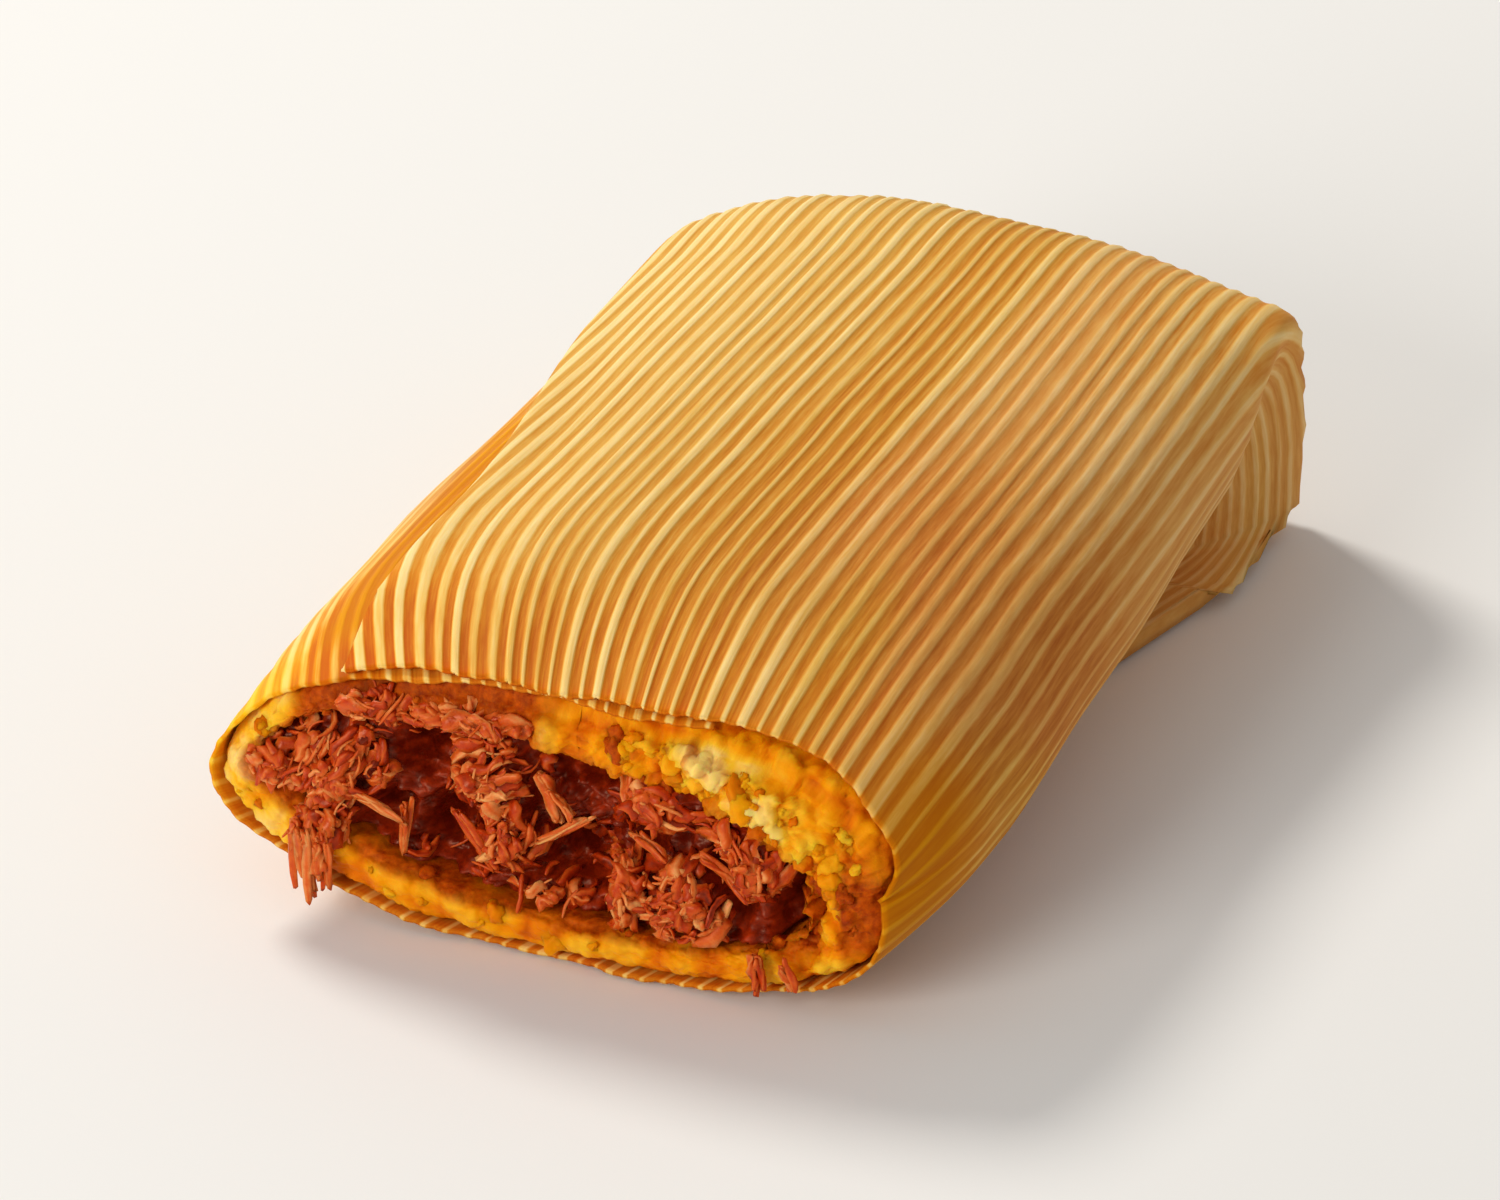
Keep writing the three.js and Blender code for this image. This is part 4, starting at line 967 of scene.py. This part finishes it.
def husk_material():
    material, tree = new_material("corn_husk")
    ribs, along = attribute(tree, "ribs"), attribute(tree, "along")
    leaf = node(tree, "ShaderNodeCombineXYZ", {"X": ribs, "Y": along}).outputs["Vector"]

    def on_leaf(across, down, detail, roughness=0.5):
        """Noise on the leaf laid flat, drawn out along its ribs."""
        drawn_out = node(tree, "ShaderNodeMapping", {"Vector": leaf, "Scale": (across, down, 1.0)})
        return noise_map(tree, drawn_out.outputs["Vector"], 1, detail, roughness)

    def own_value(number):
        """A random value from 0 to 1 for each rib."""
        return node(tree, "ShaderNodeTexWhiteNoise", {"W": number}, noise_dimensions="1D").outputs["Value"]

    # Each rib is a pale ridge beside a darker groove, and about one in four is broader.
    phase, number = maths(tree, "FRACT", ribs), maths(tree, "FLOOR", ribs)
    own, other = own_value(number), own_value(maths(tree, "ADD", number, 77.5))
    narrow = ramp(tree, phase, [
        (0.14, 0, 0, 0), (0.27, 255, 255, 255), (0.42, 255, 255, 255), (0.55, 0, 0, 0)])
    wide = ramp(tree, phase, [
        (0.08, 0, 0, 0), (0.2, 255, 255, 255), (0.56, 255, 255, 255), (0.7, 0, 0, 0)])
    ridge = blend_colours(tree, product(tree, attribute(tree, "broad"), 1.0), narrow, wide)
    rib_light = maths(tree, "ADD", maths(tree, "MULTIPLY", own, 0.16), 0.27)
    not_faint = maths(tree, "SUBTRACT", 1.0, attribute(tree, "faint"))
    high = maths(tree, "MULTIPLY", maths(tree, "MULTIPLY", ridge, rib_light), not_faint)
    fibres_map, streaks = on_leaf(5.5, 0.2, 3, 0.6), on_leaf(0.45, 0.04, 3)
    # The light mark adds painted light and shade to the ribs' own pale and dark.
    light = weighted(tree, (high, 1.0), (fibres_map, 0.38), (other, 0.07), (streaks, 0.16),
                     (attribute(tree, "light"), 1.0))

    # The straw colour has rosy bands along it, and sauce stains it warm.
    straw = ramp(tree, light, [
        (0.16, 172, 90, 14), (0.34, 202, 130, 39), (0.6, 226, 175, 82), (0.92, 249, 219, 150)])
    rosy_straw = ramp(tree, light, [
        (0.16, 174, 84, 26), (0.34, 202, 122, 52), (0.6, 226, 163, 90), (0.92, 248, 211, 152)])
    warm = ramp(tree, light, [
        (0.22, 196, 86, 3), (0.42, 224, 134, 20), (0.64, 244, 196, 100), (0.92, 252, 227, 164)])
    sunny = ramp(tree, light, [(0.2, 226, 126, 5), (0.6, 251, 188, 26), (0.95, 254, 216, 92)])
    sauce = ramp(tree, light, [(0.25, 204, 116, 1), (0.7, 234, 160, 5)])
    bands = maths(tree, "ADD", on_leaf(0.11, 0.008, 1), attribute(tree, "rosy"))
    in_band = node(tree, "ShaderNodeMapRange", {
        "Value": bands, "From Min": 0.5, "From Max": 0.64, "To Max": 0.7}).outputs["Result"]
    patches = noise_map(tree, object_place(tree), 55, 2)
    stained = product(tree, attribute(tree, "stain"), maths(tree, "ADD", patches, 0.4))
    leaf_colour = blend_colours(tree, in_band, straw, rosy_straw)
    leaf_colour = blend_colours(tree, stained, leaf_colour, warm)
    shade = colour(156, 72, 6)
    # Over the leaf go the yellow, partly a painted glow, the groove's sauce stain and painted shade, and
    # painted shade in a darker orange.
    for mark, weight, over in (("yellow", 1.2, sunny), ("groove_stain_and_shade", 1.1, sauce), ("painted_shade", 0.6, shade)):
        leaf_colour = blend_colours(tree, product(tree, attribute(tree, mark), weight), leaf_colour, over)
    add_shader(tree, {
        "Base Color": leaf_colour,
        "Normal": bumps(tree, weighted(tree, (high, 1.0), (fibres_map, 0.35)), 0.6, 0.16),
        "Roughness": 0.65, "Specular IOR Level": 0.1, "Specular Tint": colour(255, 205, 130),
        "Subsurface Weight": 0.08, "Subsurface Radius": (1.0, 0.5, 0.15), "Subsurface Scale": 0.8 * MM})
    return material


give_finish(husk, husk_material())
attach(husk, "root")
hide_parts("husk")


# ---------------------------------------------------------------- floor, light and camera
# A plain pale table, one large soft lamp high on the left and a weak one in front, and a long lens that
# looks down on the cut from the right.
bpy.ops.mesh.primitive_plane_add(size=4, location=(0, 0, 0))
table = bpy.context.object
table.name = "table_top"
table_finish, table_tree = new_material("table_white")
add_shader(table_tree, {"Base Color": colour(238, 236, 232), "Roughness": 0.8})
table.data.materials.append(table_finish)


def lamp(name, place, size, power, tint):
    """A round soft lamp, aimed at the middle of the food."""
    data = bpy.data.lights.new(name, "AREA")
    data.shape = "DISK"
    data.size = size
    data.energy = power
    data.color = tint
    made = add_object(name, data)
    made.location = place
    made.rotation_euler = (Vector((0, 0, 0.01)) - Vector(place)).to_track_quat("-Z", "Y").to_euler()


lamp("key_lamp", (-0.68, 0.36, 0.72), size=0.3, power=7.0, tint=(1.0, 0.97, 0.92))
lamp("front_lamp", (-0.3, -0.9, 0.42), size=0.5, power=5.2, tint=(1.0, 0.98, 0.95))
world = bpy.data.worlds.new("soft_room")
world.use_nodes = True
background = world.node_tree.nodes["Background"]
background.inputs["Color"].default_value = (1, 1, 1, 1)
background.inputs["Strength"].default_value = 0.42
bpy.context.scene.world = world

AZIMUTH, ELEVATION, DISTANCE, VIEW_WIDTH = radians(23.0), radians(30.5), 1.2, 0.1287
AIM = Vector((-1.7, -2.35, 11.9)) * MM
toward_camera = Vector((np.sin(AZIMUTH) * np.cos(ELEVATION), -np.cos(AZIMUTH) * np.cos(ELEVATION),
                        np.sin(ELEVATION)))
camera_data = bpy.data.cameras.new("camera")
camera_data.sensor_width = 36
camera_data.lens = 36 * DISTANCE / VIEW_WIDTH
camera_data.clip_start, camera_data.clip_end = 0.05, 10
camera = add_object("camera", camera_data)
camera.location = AIM + toward_camera * DISTANCE
camera.rotation_euler = (-toward_camera).to_track_quat("-Z", "Y").to_euler()
bpy.context.scene.camera = camera
bpy.context.scene.view_settings.view_transform = "Standard"
